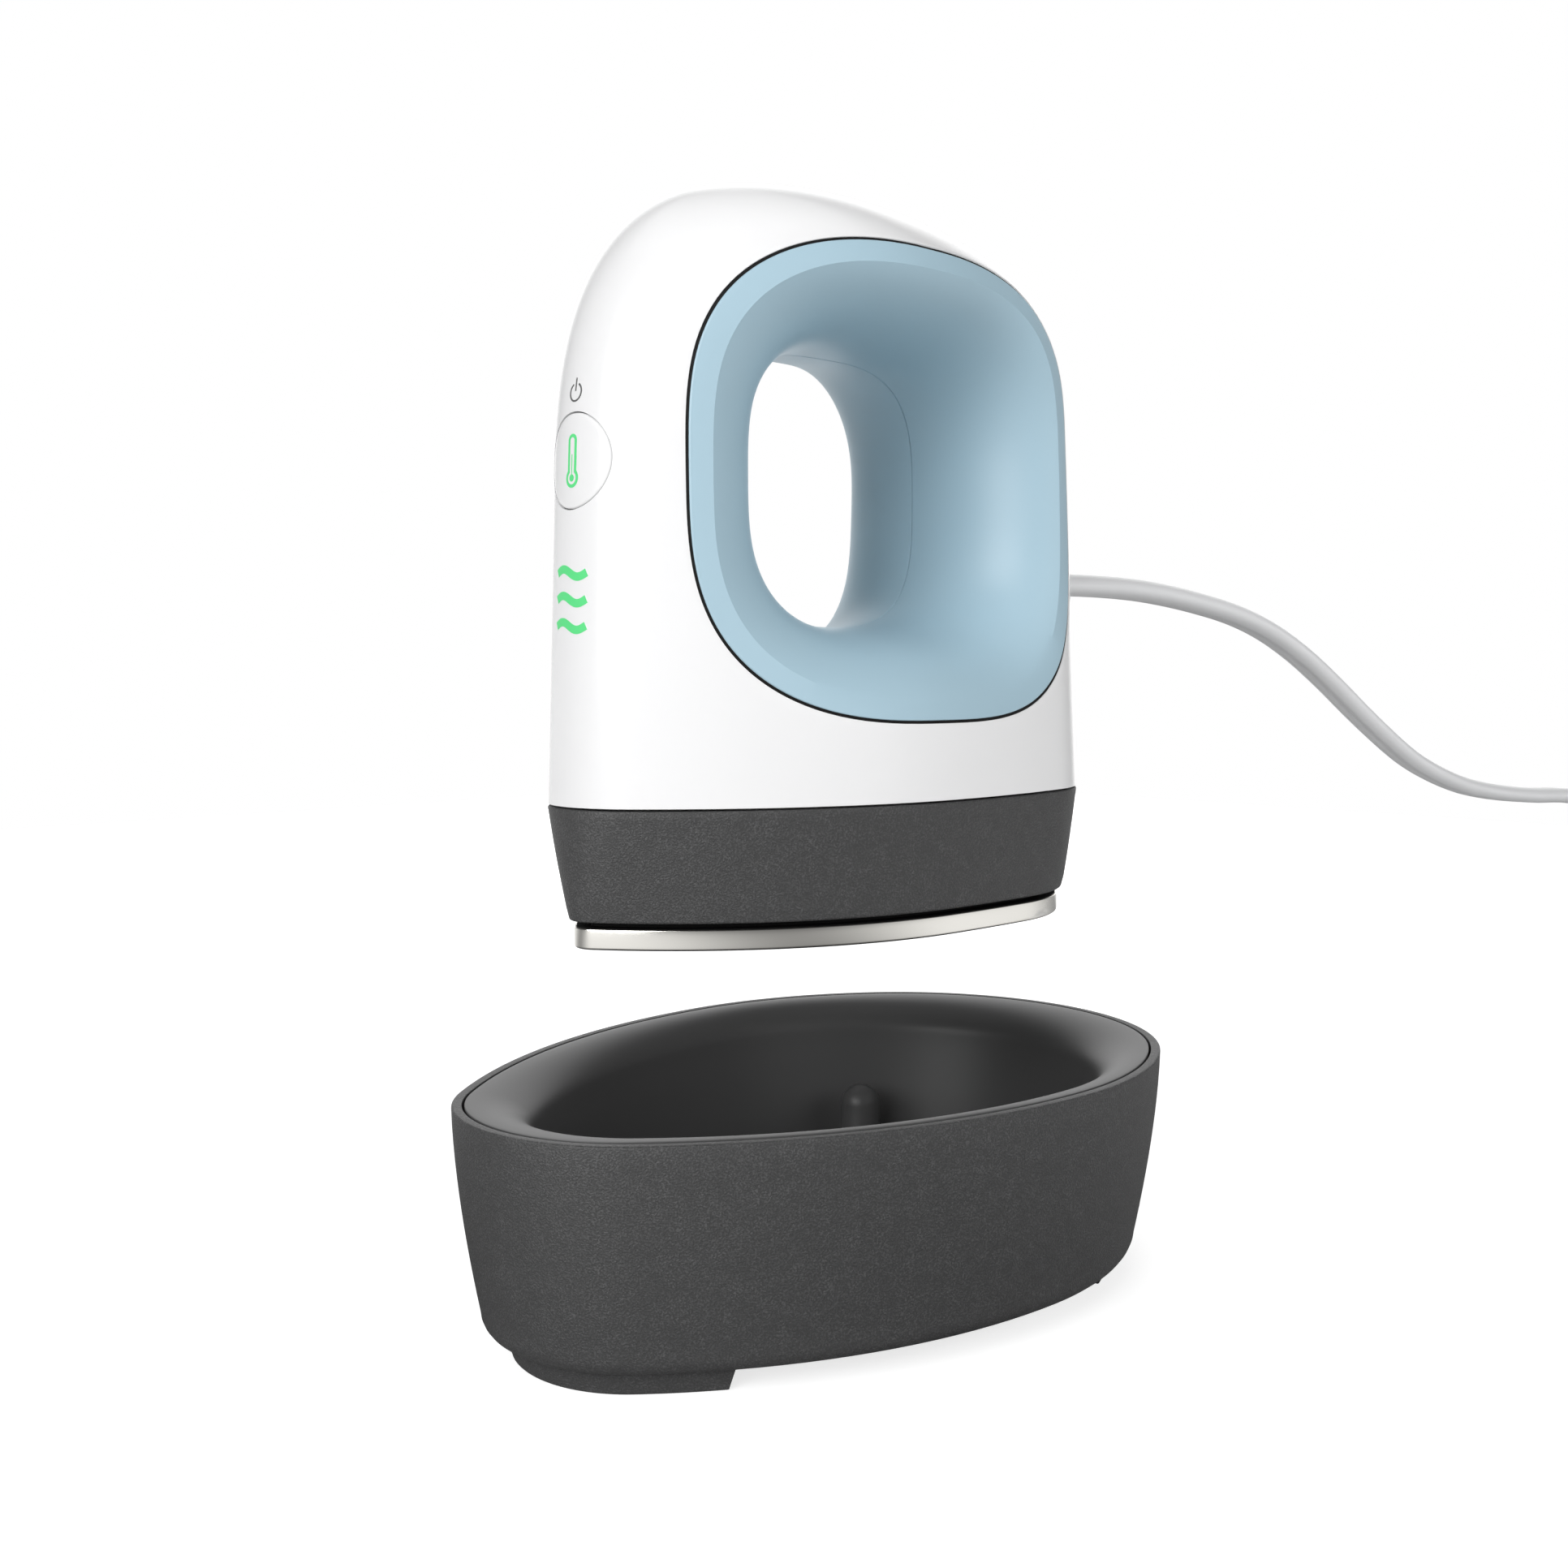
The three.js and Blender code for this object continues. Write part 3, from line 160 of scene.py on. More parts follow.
@dataclass(frozen=True)
class Plan:
    """An egg-shaped outline seen from above, rounder at the tail than at the nose."""

    nose: float
    tail: float
    widest: float
    half: float
    nose_radius: float
    tail_radius: float

    def inset(self, depth: float) -> "Plan":
        """The outline at an even distance inside this one."""
        return replace(
            self.shortened(depth), half=self.half - depth,
            nose_radius=self.nose_radius - depth, tail_radius=self.tail_radius - depth)

    def shortened(self, ends: float) -> "Plan":
        """The outline drawn in at the nose and the tail only."""
        return replace(self, nose=self.nose + ends, tail=self.tail - ends)

    def mixed(self, other: "Plan", share: float) -> "Plan":
        """The outline part of the way from this one to another."""
        mine, theirs = vars(self), vars(other)
        return Plan(**{key: mine[key] + (theirs[key] - mine[key]) * share for key in mine})

    @property
    def front(self) -> Quarter:
        """The quarter at the nose."""
        return Quarter(self.widest - self.nose, self.half, self.nose_radius)

    @property
    def rear(self) -> Quarter:
        """The quarter at the tail."""
        return Quarter(self.tail - self.widest, self.half, self.tail_radius)

    def half_at(self, x: float) -> float:
        """Half width of the outline at a place along X."""
        if x <= self.nose or x >= self.tail:
            return 0.0
        quarter = self.front if x < self.widest else self.rear
        return quarter.half_at(abs(x - self.widest))

    def near_side(self, steps: int = 5) -> list[tuple[float, float]]:
        """Points (x, y) of the near side, from the nose to the tail."""
        front = self.front.points(4 * steps, 4 * steps)
        rear = self.rear.points(4 * steps, 5 * steps)
        return [(self.widest - d, -h) for d, h in reversed(front)] + [
            (self.widest + d, -h) for d, h in rear[1:]
        ]

    def ring(self, z: float, steps: int = 5) -> Ring:
        """The whole outline as a ring of points at one height."""
        near = self.near_side(steps)
        far = [(x, -y) for x, y in reversed(near[1:-1])]
        return [Vector((x, y, z)) for x, y in near + far]


# Meshes


def add_object(name: str, data: bpy.types.ID | None) -> bpy.types.Object:
    """Makes an object of some data and links it to the scene."""
    made = bpy.data.objects.new(name, data)
    bpy.context.scene.collection.objects.link(made)
    return made


def make_mesh(name: str, points: Iterable[Vector], faces: list[Sequence[int]]) -> bpy.types.Object:
    """Makes an object from points in the press's own frame.

    Args:
        name: The piece's name.
        points: Points in millimetres.
        faces: Faces as indexes into the points.

    Returns:
        The new object, linked to the scene, at the origin.
    """
    mesh = bpy.data.meshes.new(name)
    mesh.from_pydata([placed(p) for p in points], [], faces)
    mesh.validate()
    mesh.update()
    return add_object(name, mesh)


def merge_and_face_out(made: bpy.types.Object, distance: float = 0.004) -> None:
    """Merges doubled points and turns every face outwards."""
    work = bmesh.new()
    work.from_mesh(made.data)
    bmesh.ops.remove_doubles(work, verts=work.verts, dist=distance * MM)
    bmesh.ops.recalc_face_normals(work, faces=work.faces)
    work.to_mesh(made.data)
    work.free()
    made.data.update()


def shade(made: bpy.types.Object, angle: float) -> None:
    """Smooth shading, broken only at edges sharper than the angle in degrees."""
    made.data.shade_smooth()
    made.data.set_sharp_from_angle(angle=math.radians(angle))


def loft(name: str, rings: Sequence[Ring], closed: bool = False, sharp: float = 35.0) -> bpy.types.Object:
    """Skins rings of equal length one after another.

    Args:
        name: The piece's name.
        rings: The rings, all with the same number of points.
        closed: Whether the last ring joins the first. Otherwise both ends are capped.
        sharp: The angle in degrees beyond which an edge stays sharp.

    Returns:
        The new object with its faces pointing out.
    """
    count = len(rings[0])
    points = [p for ring in rings for p in ring]
    faces: list[Sequence[int]] = []
    bands = len(rings) if closed else len(rings) - 1
    for r in range(bands):
        a, b = r * count, ((r + 1) % len(rings)) * count
        for i in range(count):
            j = (i + 1) % count
            faces.append((a + i, a + j, b + j, b + i))
    if not closed:
        faces.append(tuple(range(count - 1, -1, -1)))
        last = (len(rings) - 1) * count
        faces.append(tuple(range(last, last + count)))
    made = make_mesh(name, points, faces)
    merge_and_face_out(made)
    shade(made, sharp)
    return made


def around(sides: int) -> list[tuple[float, float]]:
    """Cosine and sine of even angles over a whole turn."""
    angles = [2 * math.pi * i / sides for i in range(sides)]
    return [(math.cos(angle), math.sin(angle)) for angle in angles]


def turned(name: str, profile: Sequence[tuple[float, float]], centre: Point, sides: int) -> bpy.types.Object:
    """Turns a profile of (radius, height) about an upright axis through a point."""
    x, y, z = centre
    return loft(name, [
        [Vector((x + radius * c, y + radius * s, z + height)) for c, s in around(sides)]
        for radius, height in profile
    ])


def turned_along_x(name: str, profile: Sequence[tuple[float, float]], z: float, sides: int) -> bpy.types.Object:
    """Turns a profile of (radius, place along X) about a level axis in the mirror plane."""
    return loft(name, [
        [Vector((x, radius * c, z + radius * s)) for c, s in around(sides)] for radius, x in profile
    ])


def arc(steps: int) -> list[float]:
    """Even angles over a quarter turn."""
    return [math.pi / 2 * i / steps for i in range(steps + 1)]


def rounded(start: Sequence[float], stop: Sequence[float], steps: int, level: bool) -> list[tuple[float, ...]]:
    """A quarter of an ellipse between two rows of (inset, height, draw at the ends).

    Args:
        start: The row that it begins at.
        stop: The row that it ends at, with as many values.
        steps: How many steps it takes.
        level: Whether it leaves its start level, or else upright.

    Returns:
        The rows from start to stop.
    """
    found = []
    for angle in arc(steps):
        early, late = math.sin(angle), 1 - math.cos(angle)
        shares = [early if (index == 1) != level else late for index in range(len(start))]
        found.append(tuple(a + (b - a) * share for a, b, share in zip(start, stop, shares)))
    return found


def rings_of(plan: Plan, rows: Iterable[Sequence[float]], steps: int = 5) -> list[Ring]:
    """Rings of an outline at rows of (inset, height)."""
    return [plan.inset(inset).ring(z, steps) for inset, z in rows]


def bake_modifiers(made: bpy.types.Object) -> None:
    """Replaces an object's mesh by what its modifiers give, and removes them."""
    graph = bpy.context.evaluated_depsgraph_get()
    graph.update()
    old = made.data
    new = bpy.data.meshes.new_from_object(made.evaluated_get(graph))
    made.modifiers.clear()
    made.data = new
    new.name = made.name
    bpy.data.meshes.remove(old)


def centripetal(points: Sequence[Vector], per_span: int) -> list[Vector]:
    """A centripetal Catmull-Rom curve through points, with the end spans mirrored."""
    line = [points[0] * 2 - points[1], *points, points[-1] * 2 - points[-2]]
    found = []
    for k in range(1, len(line) - 2):
        p = line[k - 1 : k + 3]
        knots = [0.0]
        for a, b in zip(p, p[1:]):
            knots.append(knots[-1] + max(1e-6, math.sqrt((b - a).length)))
        for i in range(per_span):
            t = knots[1] + (knots[2] - knots[1]) * i / per_span
            level = list(p)
            for depth in range(1, 4):
                level = [
                    level[m].lerp(level[m + 1], (t - knots[m]) / (knots[m + depth] - knots[m]))
                    for m in range(len(level) - 1)
                ]
            found.append(level[0])
    found.append(points[-1])
    return found


# Node trees


def feed(tree: bpy.types.NodeTree, node: bpy.types.Node, inputs: dict[str | int, object]) -> None:
    """Gives a node's inputs their values, or links sockets to them."""
    for key, value in inputs.items():
        if isinstance(value, bpy.types.NodeSocket):
            tree.links.new(value, node.inputs[key])
        else:
            node.inputs[key].default_value = value


def add_node(tree: bpy.types.NodeTree, kind: str, inputs: dict[str | int, object] | None = None,
             **settings: object) -> bpy.types.Node:
    """Adds a node to a tree.

    Args:
        tree: The tree.
        kind: The node's type.
        inputs: A value, or a socket to link, for each named or numbered input.
        settings: The node's own properties, set before its inputs.

    Returns:
        The new node.
    """
    made = tree.nodes.new(kind)
    for key, value in settings.items():
        setattr(made, key, value)
    feed(tree, made, inputs or {})
    return made


def combine(tree: bpy.types.NodeTree, operation: str, *values: object) -> bpy.types.NodeSocket:
    """What a Math node makes of sockets or numbers."""
    return add_node(tree, "ShaderNodeMath", dict(enumerate(values)), operation=operation).outputs["Value"]


def map_range(tree: bpy.types.NodeTree, value: bpy.types.NodeSocket, given: tuple[float, float],
              result: tuple[object, object] = (0.0, 1.0), smooth: bool = False) -> bpy.types.NodeSocket:
    """Maps a value from one range to another.

    Args:
        tree: The tree.
        value: The socket to map.
        given: The range that it lies in.
        result: The range that it is mapped to, as numbers or sockets.
        smooth: Whether it eases in and out.

    Returns:
        The mapped value.
    """
    return add_node(tree, "ShaderNodeMapRange", {
        "Value": value, "From Min": given[0], "From Max": given[1], "To Min": result[0], "To Max": result[1],
    }, interpolation_type="SMOOTHSTEP" if smooth else "LINEAR").outputs["Result"]


def start_group(name: str, inputs: dict[str, str], outputs: dict[str, str],
                ) -> tuple[bpy.types.NodeTree, bpy.types.Node, bpy.types.Node]:
    """Starts a shader node group with named sockets.

    Args:
        name: The group's name.
        inputs: The kind of each input.
        outputs: The kind of each output.

    Returns:
        The group, its input node and its output node.
    """
    group = bpy.data.node_groups.new(name, "ShaderNodeTree")
    for way, sockets in (("INPUT", inputs), ("OUTPUT", outputs)):
        for label, kind in sockets.items():
            group.interface.new_socket(label, in_out=way, socket_type=f"NodeSocket{kind}")
    return group, add_node(group, "NodeGroupInput"), add_node(group, "NodeGroupOutput")


class Tree:
    """A Geometry Nodes tree that is built once and used by a modifier."""

    def __init__(self, name: str) -> None:
        """Starts the tree with a geometry input and a geometry output."""
        self.group = bpy.data.node_groups.new(name, "GeometryNodeTree")
        self.group.is_modifier = True
        self.ids: dict[str, str] = {}
        for way in ("INPUT", "OUTPUT"):
            self.group.interface.new_socket("Geometry", in_out=way, socket_type="NodeSocketGeometry")
        self.inputs = self.node("NodeGroupInput")
        self.outputs = self.node("NodeGroupOutput")

    def number(self, name: str, kind: str = "NodeSocketFloat") -> bpy.types.NodeSocket:
        """Adds a named input and returns its socket inside the tree."""
        item = self.group.interface.new_socket(name, in_out="INPUT", socket_type=kind)
        self.ids[name] = item.identifier
        return self.inputs.outputs[name]

    def node(self, kind: str, inputs: dict[str | int, object] | None = None, **settings: object) -> bpy.types.Node:
        """Adds a node with its inputs and properties."""
        return add_node(self.group, kind, inputs, **settings)

    def finish(self, last: bpy.types.NodeSocket, material: bpy.types.Material) -> None:
        """Ends the tree in Realize Instances and Set Material."""
        real = self.node("GeometryNodeRealizeInstances", {"Geometry": last})
        coat = self.node("GeometryNodeSetMaterial", {"Geometry": real.outputs["Geometry"], "Material": material})
        feed(self.group, self.outputs, {"Geometry": coat.outputs["Geometry"]})

    def apply(self, name: str, source: bpy.types.Object, values: dict[str, object]) -> bpy.types.Object:
        """Runs the tree on an object and returns a plain mesh piece, removing the source."""
        modifier = source.modifiers.new(name, "NODES")
        modifier.node_group = self.group
        for key, value in values.items():
            modifier[self.ids[key]] = value
        graph = bpy.context.evaluated_depsgraph_get()
        graph.update()
        mesh = bpy.data.meshes.new_from_object(source.evaluated_get(graph))
        mesh.name = name
        bpy.data.objects.remove(source)
        return add_object(name, mesh)


def level_tube_tree(material: bpy.types.Material) -> Tree:
    """A tree that sweeps a two-lobed section along a curve and keeps its wide side level."""
    groove_reach = (0.02, 0.17)
    tree = Tree("level_tube")
    width, thickness = tree.number("Width"), tree.number("Thickness")
    sides, groove = tree.number("Sides", "NodeSocketInt"), tree.number("Groove")
    circle = tree.node("GeometryNodeCurvePrimitiveCircle", {"Radius": 0.5, "Resolution": sides})
    place = tree.node("GeometryNodeInputPosition")
    axes = tree.node("ShaderNodeSeparateXYZ", {"Vector": place.outputs["Position"]})
    aside = combine(tree.group, "ABSOLUTE", axes.outputs["X"])
    depth = map_range(tree.group, aside, groove_reach, (groove, 0.0), smooth=True)
    down = tree.node("ShaderNodeCombineXYZ", {"Y": combine(tree.group, "MULTIPLY", depth, axes.outputs["Y"])})
    pinch = tree.node("GeometryNodeSetPosition", {
        "Geometry": circle.outputs["Curve"], "Offset": down.outputs["Vector"],
    })
    scale = tree.node("ShaderNodeCombineXYZ", {"X": width, "Y": thickness})
    section = tree.node("GeometryNodeTransform", {
        "Geometry": pinch.outputs["Geometry"], "Scale": scale.outputs["Vector"],
    })
    line = tree.node("GeometryNodeSetCurveNormal", {"Curve": tree.inputs.outputs["Geometry"]}, mode="Z_UP")
    sweep = tree.node("GeometryNodeCurveToMesh", {
        "Curve": line.outputs["Curve"], "Profile Curve": section.outputs["Geometry"], "Fill Caps": True,
    })
    tree.finish(sweep.outputs["Mesh"], material)
    return tree


def copies_tree(part: bpy.types.Object, material: bpy.types.Material) -> Tree:
    """A tree that puts a copy of one part at every point of a mesh."""
    tree = Tree(f"copies_of_{part.name}")
    rotate = tree.node("ShaderNodeCombineXYZ", {"X": tree.number("Turn")})
    info = tree.node("GeometryNodeObjectInfo", {"Object": part})
    put = tree.node("GeometryNodeInstanceOnPoints", {
        "Points": tree.inputs.outputs["Geometry"], "Instance": info.outputs["Geometry"],
        "Rotation": rotate.outputs["Vector"],
    })
    tree.finish(put.outputs["Instances"], material)
    return tree


# Finishes


@dataclass(frozen=True)
class Finish:
    """A moulded, metal or sheathed surface with fine variation, including pale speckles that are partly painted
    glints.
    """

    name: str
    color: tuple[float, float, float]
    roughness: float
    metallic: float = 0.0
    coat: float = 0.0
    specular: float = 0.5
    grain_scale: float = 1400.0
    grain_depth: float = 0.0
    variation: float = 0.04
    speckle: float = 0.0
    emission: float = 0.0
    transmission: float = 0.0
    coat_roughness: float = 0.08

    def material(self) -> bpy.types.Material:
        """Makes the material, or returns it if it was made before."""
        if self.name in bpy.data.materials:
            return bpy.data.materials[self.name]
        made = bpy.data.materials.new(self.name)
        made.use_nodes = True
        tree = made.node_tree
        place = add_node(tree, "ShaderNodeTexCoord")
        group = add_node(tree, "ShaderNodeGroup", {
            "Place": place.outputs["Object"], "Color": (*self.color, 1.0), "Roughness": self.roughness,
            "Variation": self.variation, "Grain Scale": self.grain_scale, "Grain Depth": self.grain_depth,
            "Speckle": self.speckle,
        }, node_tree=surface_group())
        shader = tree.nodes["Principled BSDF"]
        feed(tree, shader, {
            "Base Color": group.outputs["Color"], "Roughness": group.outputs["Roughness"],
            "Normal": group.outputs["Normal"], "Metallic": self.metallic, "Coat Weight": self.coat,
            "Coat Roughness": self.coat_roughness, "Specular IOR Level": self.specular,
            "Transmission Weight": self.transmission,
        })
        if self.emission:
            feed(tree, shader, {"Emission Color": (*self.color, 1.0), "Emission Strength": self.emission})
        return made


def surface_group() -> bpy.types.NodeTree:
    """The shared surface effect: slow colour and gloss variation, fine grain, and pale speckles that are partly
    painted glints on the grain.
    """
    name = "fine_surface"
    if name in bpy.data.node_groups:
        return bpy.data.node_groups[name]
    cloud_scale, clump_scale, speckle_and_glint_spots, bump_height = 28.0, 420.0, (0.46, 0.70), 0.0001
    group, given, result = start_group(name, {
        "Place": "Vector", "Color": "Color", "Roughness": "Float", "Variation": "Float", "Grain Scale": "Float",
        "Grain Depth": "Float", "Speckle": "Float",
    }, {"Color": "Color", "Roughness": "Float", "Normal": "Vector"})
    place = given.outputs["Place"]

    cloud = add_node(group, "ShaderNodeTexNoise", {"Vector": place, "Scale": cloud_scale, "Detail": 3.0})
    drift = combine(
        group, "MULTIPLY", combine(group, "SUBTRACT", cloud.outputs["Fac"], 0.5), given.outputs["Variation"])

    grain = add_node(group, "ShaderNodeTexNoise", {
        "Vector": place, "Scale": given.outputs["Grain Scale"], "Detail": 2.0,
    })
    clumps = add_node(group, "ShaderNodeTexNoise", {"Vector": place, "Scale": clump_scale})
    # Pale speckles in the colour: partly the grain's own tone, partly painted glints on its bumps.
    spots = map_range(group, grain.outputs["Fac"], speckle_and_glint_spots)
    pale = combine(
        group, "MULTIPLY", combine(group, "MULTIPLY", spots, given.outputs["Speckle"]), clumps.outputs["Fac"])

    shift = add_node(group, "ShaderNodeHueSaturation", {
        "Color": given.outputs["Color"], "Value": combine(group, "ADD", combine(group, "ADD", 1.0, drift), pale),
    })
    bump = add_node(group, "ShaderNodeBump", {
        "Distance": bump_height, "Strength": given.outputs["Grain Depth"], "Height": grain.outputs["Fac"],
    })
    feed(group, result, {
        "Color": shift.outputs["Color"], "Roughness": combine(group, "ADD", given.outputs["Roughness"], drift),
        "Normal": bump.outputs["Normal"],
    })
    return group


GLOSS_WHITE = Finish("gloss_white_shell", (0.80, 0.80, 0.805), 0.2, coat=0.35, grain_scale=420.0, grain_depth=0.012)
GRIP_BLUE = Finish("satin_blue_grip", (0.37, 0.52, 0.605), 0.42, grain_scale=1500.0, grain_depth=0.02)
# The charcoal and the foot carry pale speckles that are partly painted glints.
CHARCOAL = Finish(
    "charcoal_grain", (0.047, 0.047, 0.0475), 0.5, specular=0.45, grain_scale=4200.0, grain_depth=1.4, speckle=1.5,
)
CHARCOAL_SATIN = Finish(
    "satin_liner", (0.058, 0.058, 0.0585), 0.42, specular=0.35, grain_scale=2600.0, grain_depth=0.04,
)
WARM_ALLOY = Finish("warm_alloy", (0.92, 0.90, 0.85), 0.17, metallic=1.0, grain_scale=900.0, grain_depth=0.01)
PLAIN_STEEL = Finish("plain_steel", (0.56, 0.57, 0.58), 0.35, metallic=1.0, grain_scale=700.0, grain_depth=0.05)
BRIGHT_BRASS = Finish("bright_brass", (0.80, 0.66, 0.36), 0.25, metallic=1.0, grain_scale=700.0, grain_depth=0.03)
MICA_SHEET = Finish("mica_sheet", (0.62, 0.52, 0.34), 0.7, grain_scale=500.0, grain_depth=0.2, variation=0.2)
FRAME_PLASTIC = Finish("natural_moulding", (0.68, 0.68, 0.64), 0.55, grain_scale=900.0, grain_depth=0.05)
BOARD_GREEN = Finish("board_green", (0.02, 0.16, 0.08), 0.4, coat=0.3, grain_scale=600.0, grain_depth=0.05)
DARK_MOULDING = Finish("dark_moulding", (0.02, 0.02, 0.022), 0.5, grain_scale=900.0, grain_depth=0.05)
# Black that stands in for shade: painted shade in the plate's groove and in the gaps round the grip inserts.
SHADE_BLACK = Finish("gasket_black", (0.008, 0.008, 0.008), 0.7, specular=0.2, grain_scale=900.0, grain_depth=0.1)
CLEAR_GUIDE = Finish("clear_guide", (0.9, 0.92, 0.9), 0.1, transmission=0.8)
LAMP_GREEN = Finish("lamp_green", (0.10, 0.64, 0.215), 0.4, emission=0.1, variation=0.02)
CORD_SHEATH = Finish("cord_sheath", (0.78, 0.785, 0.795), 0.34, grain_scale=1200.0, grain_depth=0.03)
FOOT_RUBBER = Finish(
    "grained_foot", (0.046, 0.046, 0.0465), 0.6, specular=0.5, grain_scale=4200.0, grain_depth=1.4, speckle=1.5,
)
PRINT_GREY = Finish("print_grey", (0.12, 0.12, 0.12), 0.4, variation=0.02)
PRINT_PALE = Finish("print_pale", (0.80, 0.74, 0.78), 0.4, variation=0.02)


def coat_with(made: bpy.types.Object, finish: Finish) -> None:
    """Gives an object one finish in place of what it had."""
    made.data.materials.clear()
    made.data.materials.append(finish.material())


def dress(made: bpy.types.Object, finish: Finish, slot: Slot, body: Body, *nodes: str) -> bpy.types.Object:
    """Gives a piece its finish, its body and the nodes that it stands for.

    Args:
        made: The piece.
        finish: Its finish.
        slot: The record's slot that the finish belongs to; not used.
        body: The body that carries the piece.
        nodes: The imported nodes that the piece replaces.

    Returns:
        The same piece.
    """
    coat_with(made, finish)
    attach(made, body.value)
    if nodes:
        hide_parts(*nodes)
    LOG.info("%s rides on %s", made.name, body.value)
    return made


# Press


def halved(low: float, high: float, below: Callable[[float], bool]) -> tuple[float, float]:
    """Closes in on the place between two values where a test turns from true to false."""
    for _ in range(40):
        middle = (low + high) / 2
        low, high = (middle, high) if below(middle) else (low, middle)
    return low, high


@dataclass(frozen=True)
class ShellForm:
    """The rounded housing above the band: its outline at every height."""

    seam: float = 18.1
    nose: float = -43.3
    tail: float = 45.9
    half: float = 25.7
    nose_radius: float = 11.9
    tail_radius: float = 23.6
    widest: float = 1.8
    top: float = 99.4
    peak: float = -13.0
    wall: float = 2.4
    nose_draft: float = 0.034
    tail_draft: float = 0.077
    side_swell: float = 0.012
    nose_shoulder: float = 61.2
    tail_shoulder: float = 69.6
    side_shoulder: float = 76.0
    nose_bend: float = 2.4
    tail_bend: float = 2.58
    side_bend: float = 2.3

    @staticmethod
    def shoulder(z: float, start: float, top: float, bend: float) -> float:
        """How much of its reach a face keeps at a height: 1 below its shoulder, 0 at the top."""
        if z <= start:
            return 1.0
        return max(0.0, 1 - ((z - start) / (top - start)) ** bend) ** (1 / bend)

    def plan(self, z: float, inset: float = 0.0) -> Plan:
        """The outline at a height, or the outline inside it by an inset."""
        rise, top = z - self.seam, self.top - inset
        nose = self.nose + self.nose_draft * rise + inset
        tail = self.tail - self.tail_draft * rise - inset
        at_nose = self.shoulder(z, self.nose_shoulder, top, self.nose_bend)
        at_tail = self.shoulder(z, self.tail_shoulder, top, self.tail_bend)
        half = (self.half + self.side_swell * rise - inset) * self.shoulder(
            z, self.side_shoulder, top, self.side_bend
        )
        share = half / (self.half - inset)
        return Plan(
            self.peak + (nose - self.peak) * at_nose,
            self.peak + (tail - self.peak) * at_tail,
            self.peak + (self.widest - self.peak) * at_nose,
            half,
            (self.nose_radius - inset) * share,
            (self.tail_radius - inset) * share,
        )

    def half_at(self, x: float, z: float, inset: float = 0.0) -> float:
        """Half width of the housing at a point of the mirror plane."""
        return 0.0 if z >= self.top - inset else self.plan(z, inset).half_at(x)

    def holds(self, x: float, z: float) -> bool:
        """Whether a point of the mirror plane lies inside the housing's side view."""
        if z >= self.top:
            return False
        plan = self.plan(z)
        return plan.nose < x < plan.tail

    def front_x(self, y: float, z: float) -> float:
        """X of the nose surface at a sideways place and height."""
        plan = self.plan(z)
        return halved(plan.nose, plan.widest, lambda x: plan.half_at(x) < abs(y))[1]


@dataclass(frozen=True)
class Oval:
    """A rounded outline in the side view."""

    x: float
    z: float
    length: float
    height: float
    squareness: float

    def grown(self, by: float) -> "Oval":
        """The outline made larger all round."""
        return Oval(self.x, self.z, self.length + 2 * by, self.height + 2 * by, self.squareness)

    def point(self, t: float) -> tuple[float, float]:
        """The point (x, z) at an angle of the outline's own parameter."""
        power = 2 / self.squareness
        across, up = math.cos(t), math.sin(t)
        return (
            self.x + self.length / 2 * math.copysign(abs(across) ** power, across),
            self.z + self.height / 2 * math.copysign(abs(up) ** power, up),
        )

    def toward(self, dx: float, dz: float) -> tuple[float, float]:
        """The point of the outline in a direction from its centre."""
        a, b, n = self.length / 2, self.height / 2, self.squareness
        reach = (abs(dx / a) ** n + abs(dz / b) ** n) ** (-1 / n)
        return self.x + dx * reach, self.z + dz * reach

    def ring(self, count: int, depth: Callable[[float, float], float]) -> Ring:
        """The outline as a ring, with its place along Y given by a function."""
        found = []
        for i in range(count):
            x, z = self.point(2 * math.pi * (i + 0.5) / count)
            found.append(Vector((x, depth(x, z), z)))
        return found


SHELL = ShellForm()
OPENING = Oval(-0.7, 59.4, 66.0, 61.2, 3.1)
NECK = Oval(1.85, 60.2, 37.4, 37.6, 3.15)
PLATE = Plan(-41.3, 41.3, 3.0, 24.35, 3.2, 24.1)
SEAM = Plan(SHELL.nose, SHELL.tail, SHELL.widest, SHELL.half, SHELL.nose_radius, SHELL.tail_radius)
RIM = Plan(-56.2, 58.4, 11.7, 40.05, 24.0, 36.8)
GAP = 0.3
SEAM_WIDTH = 0.4


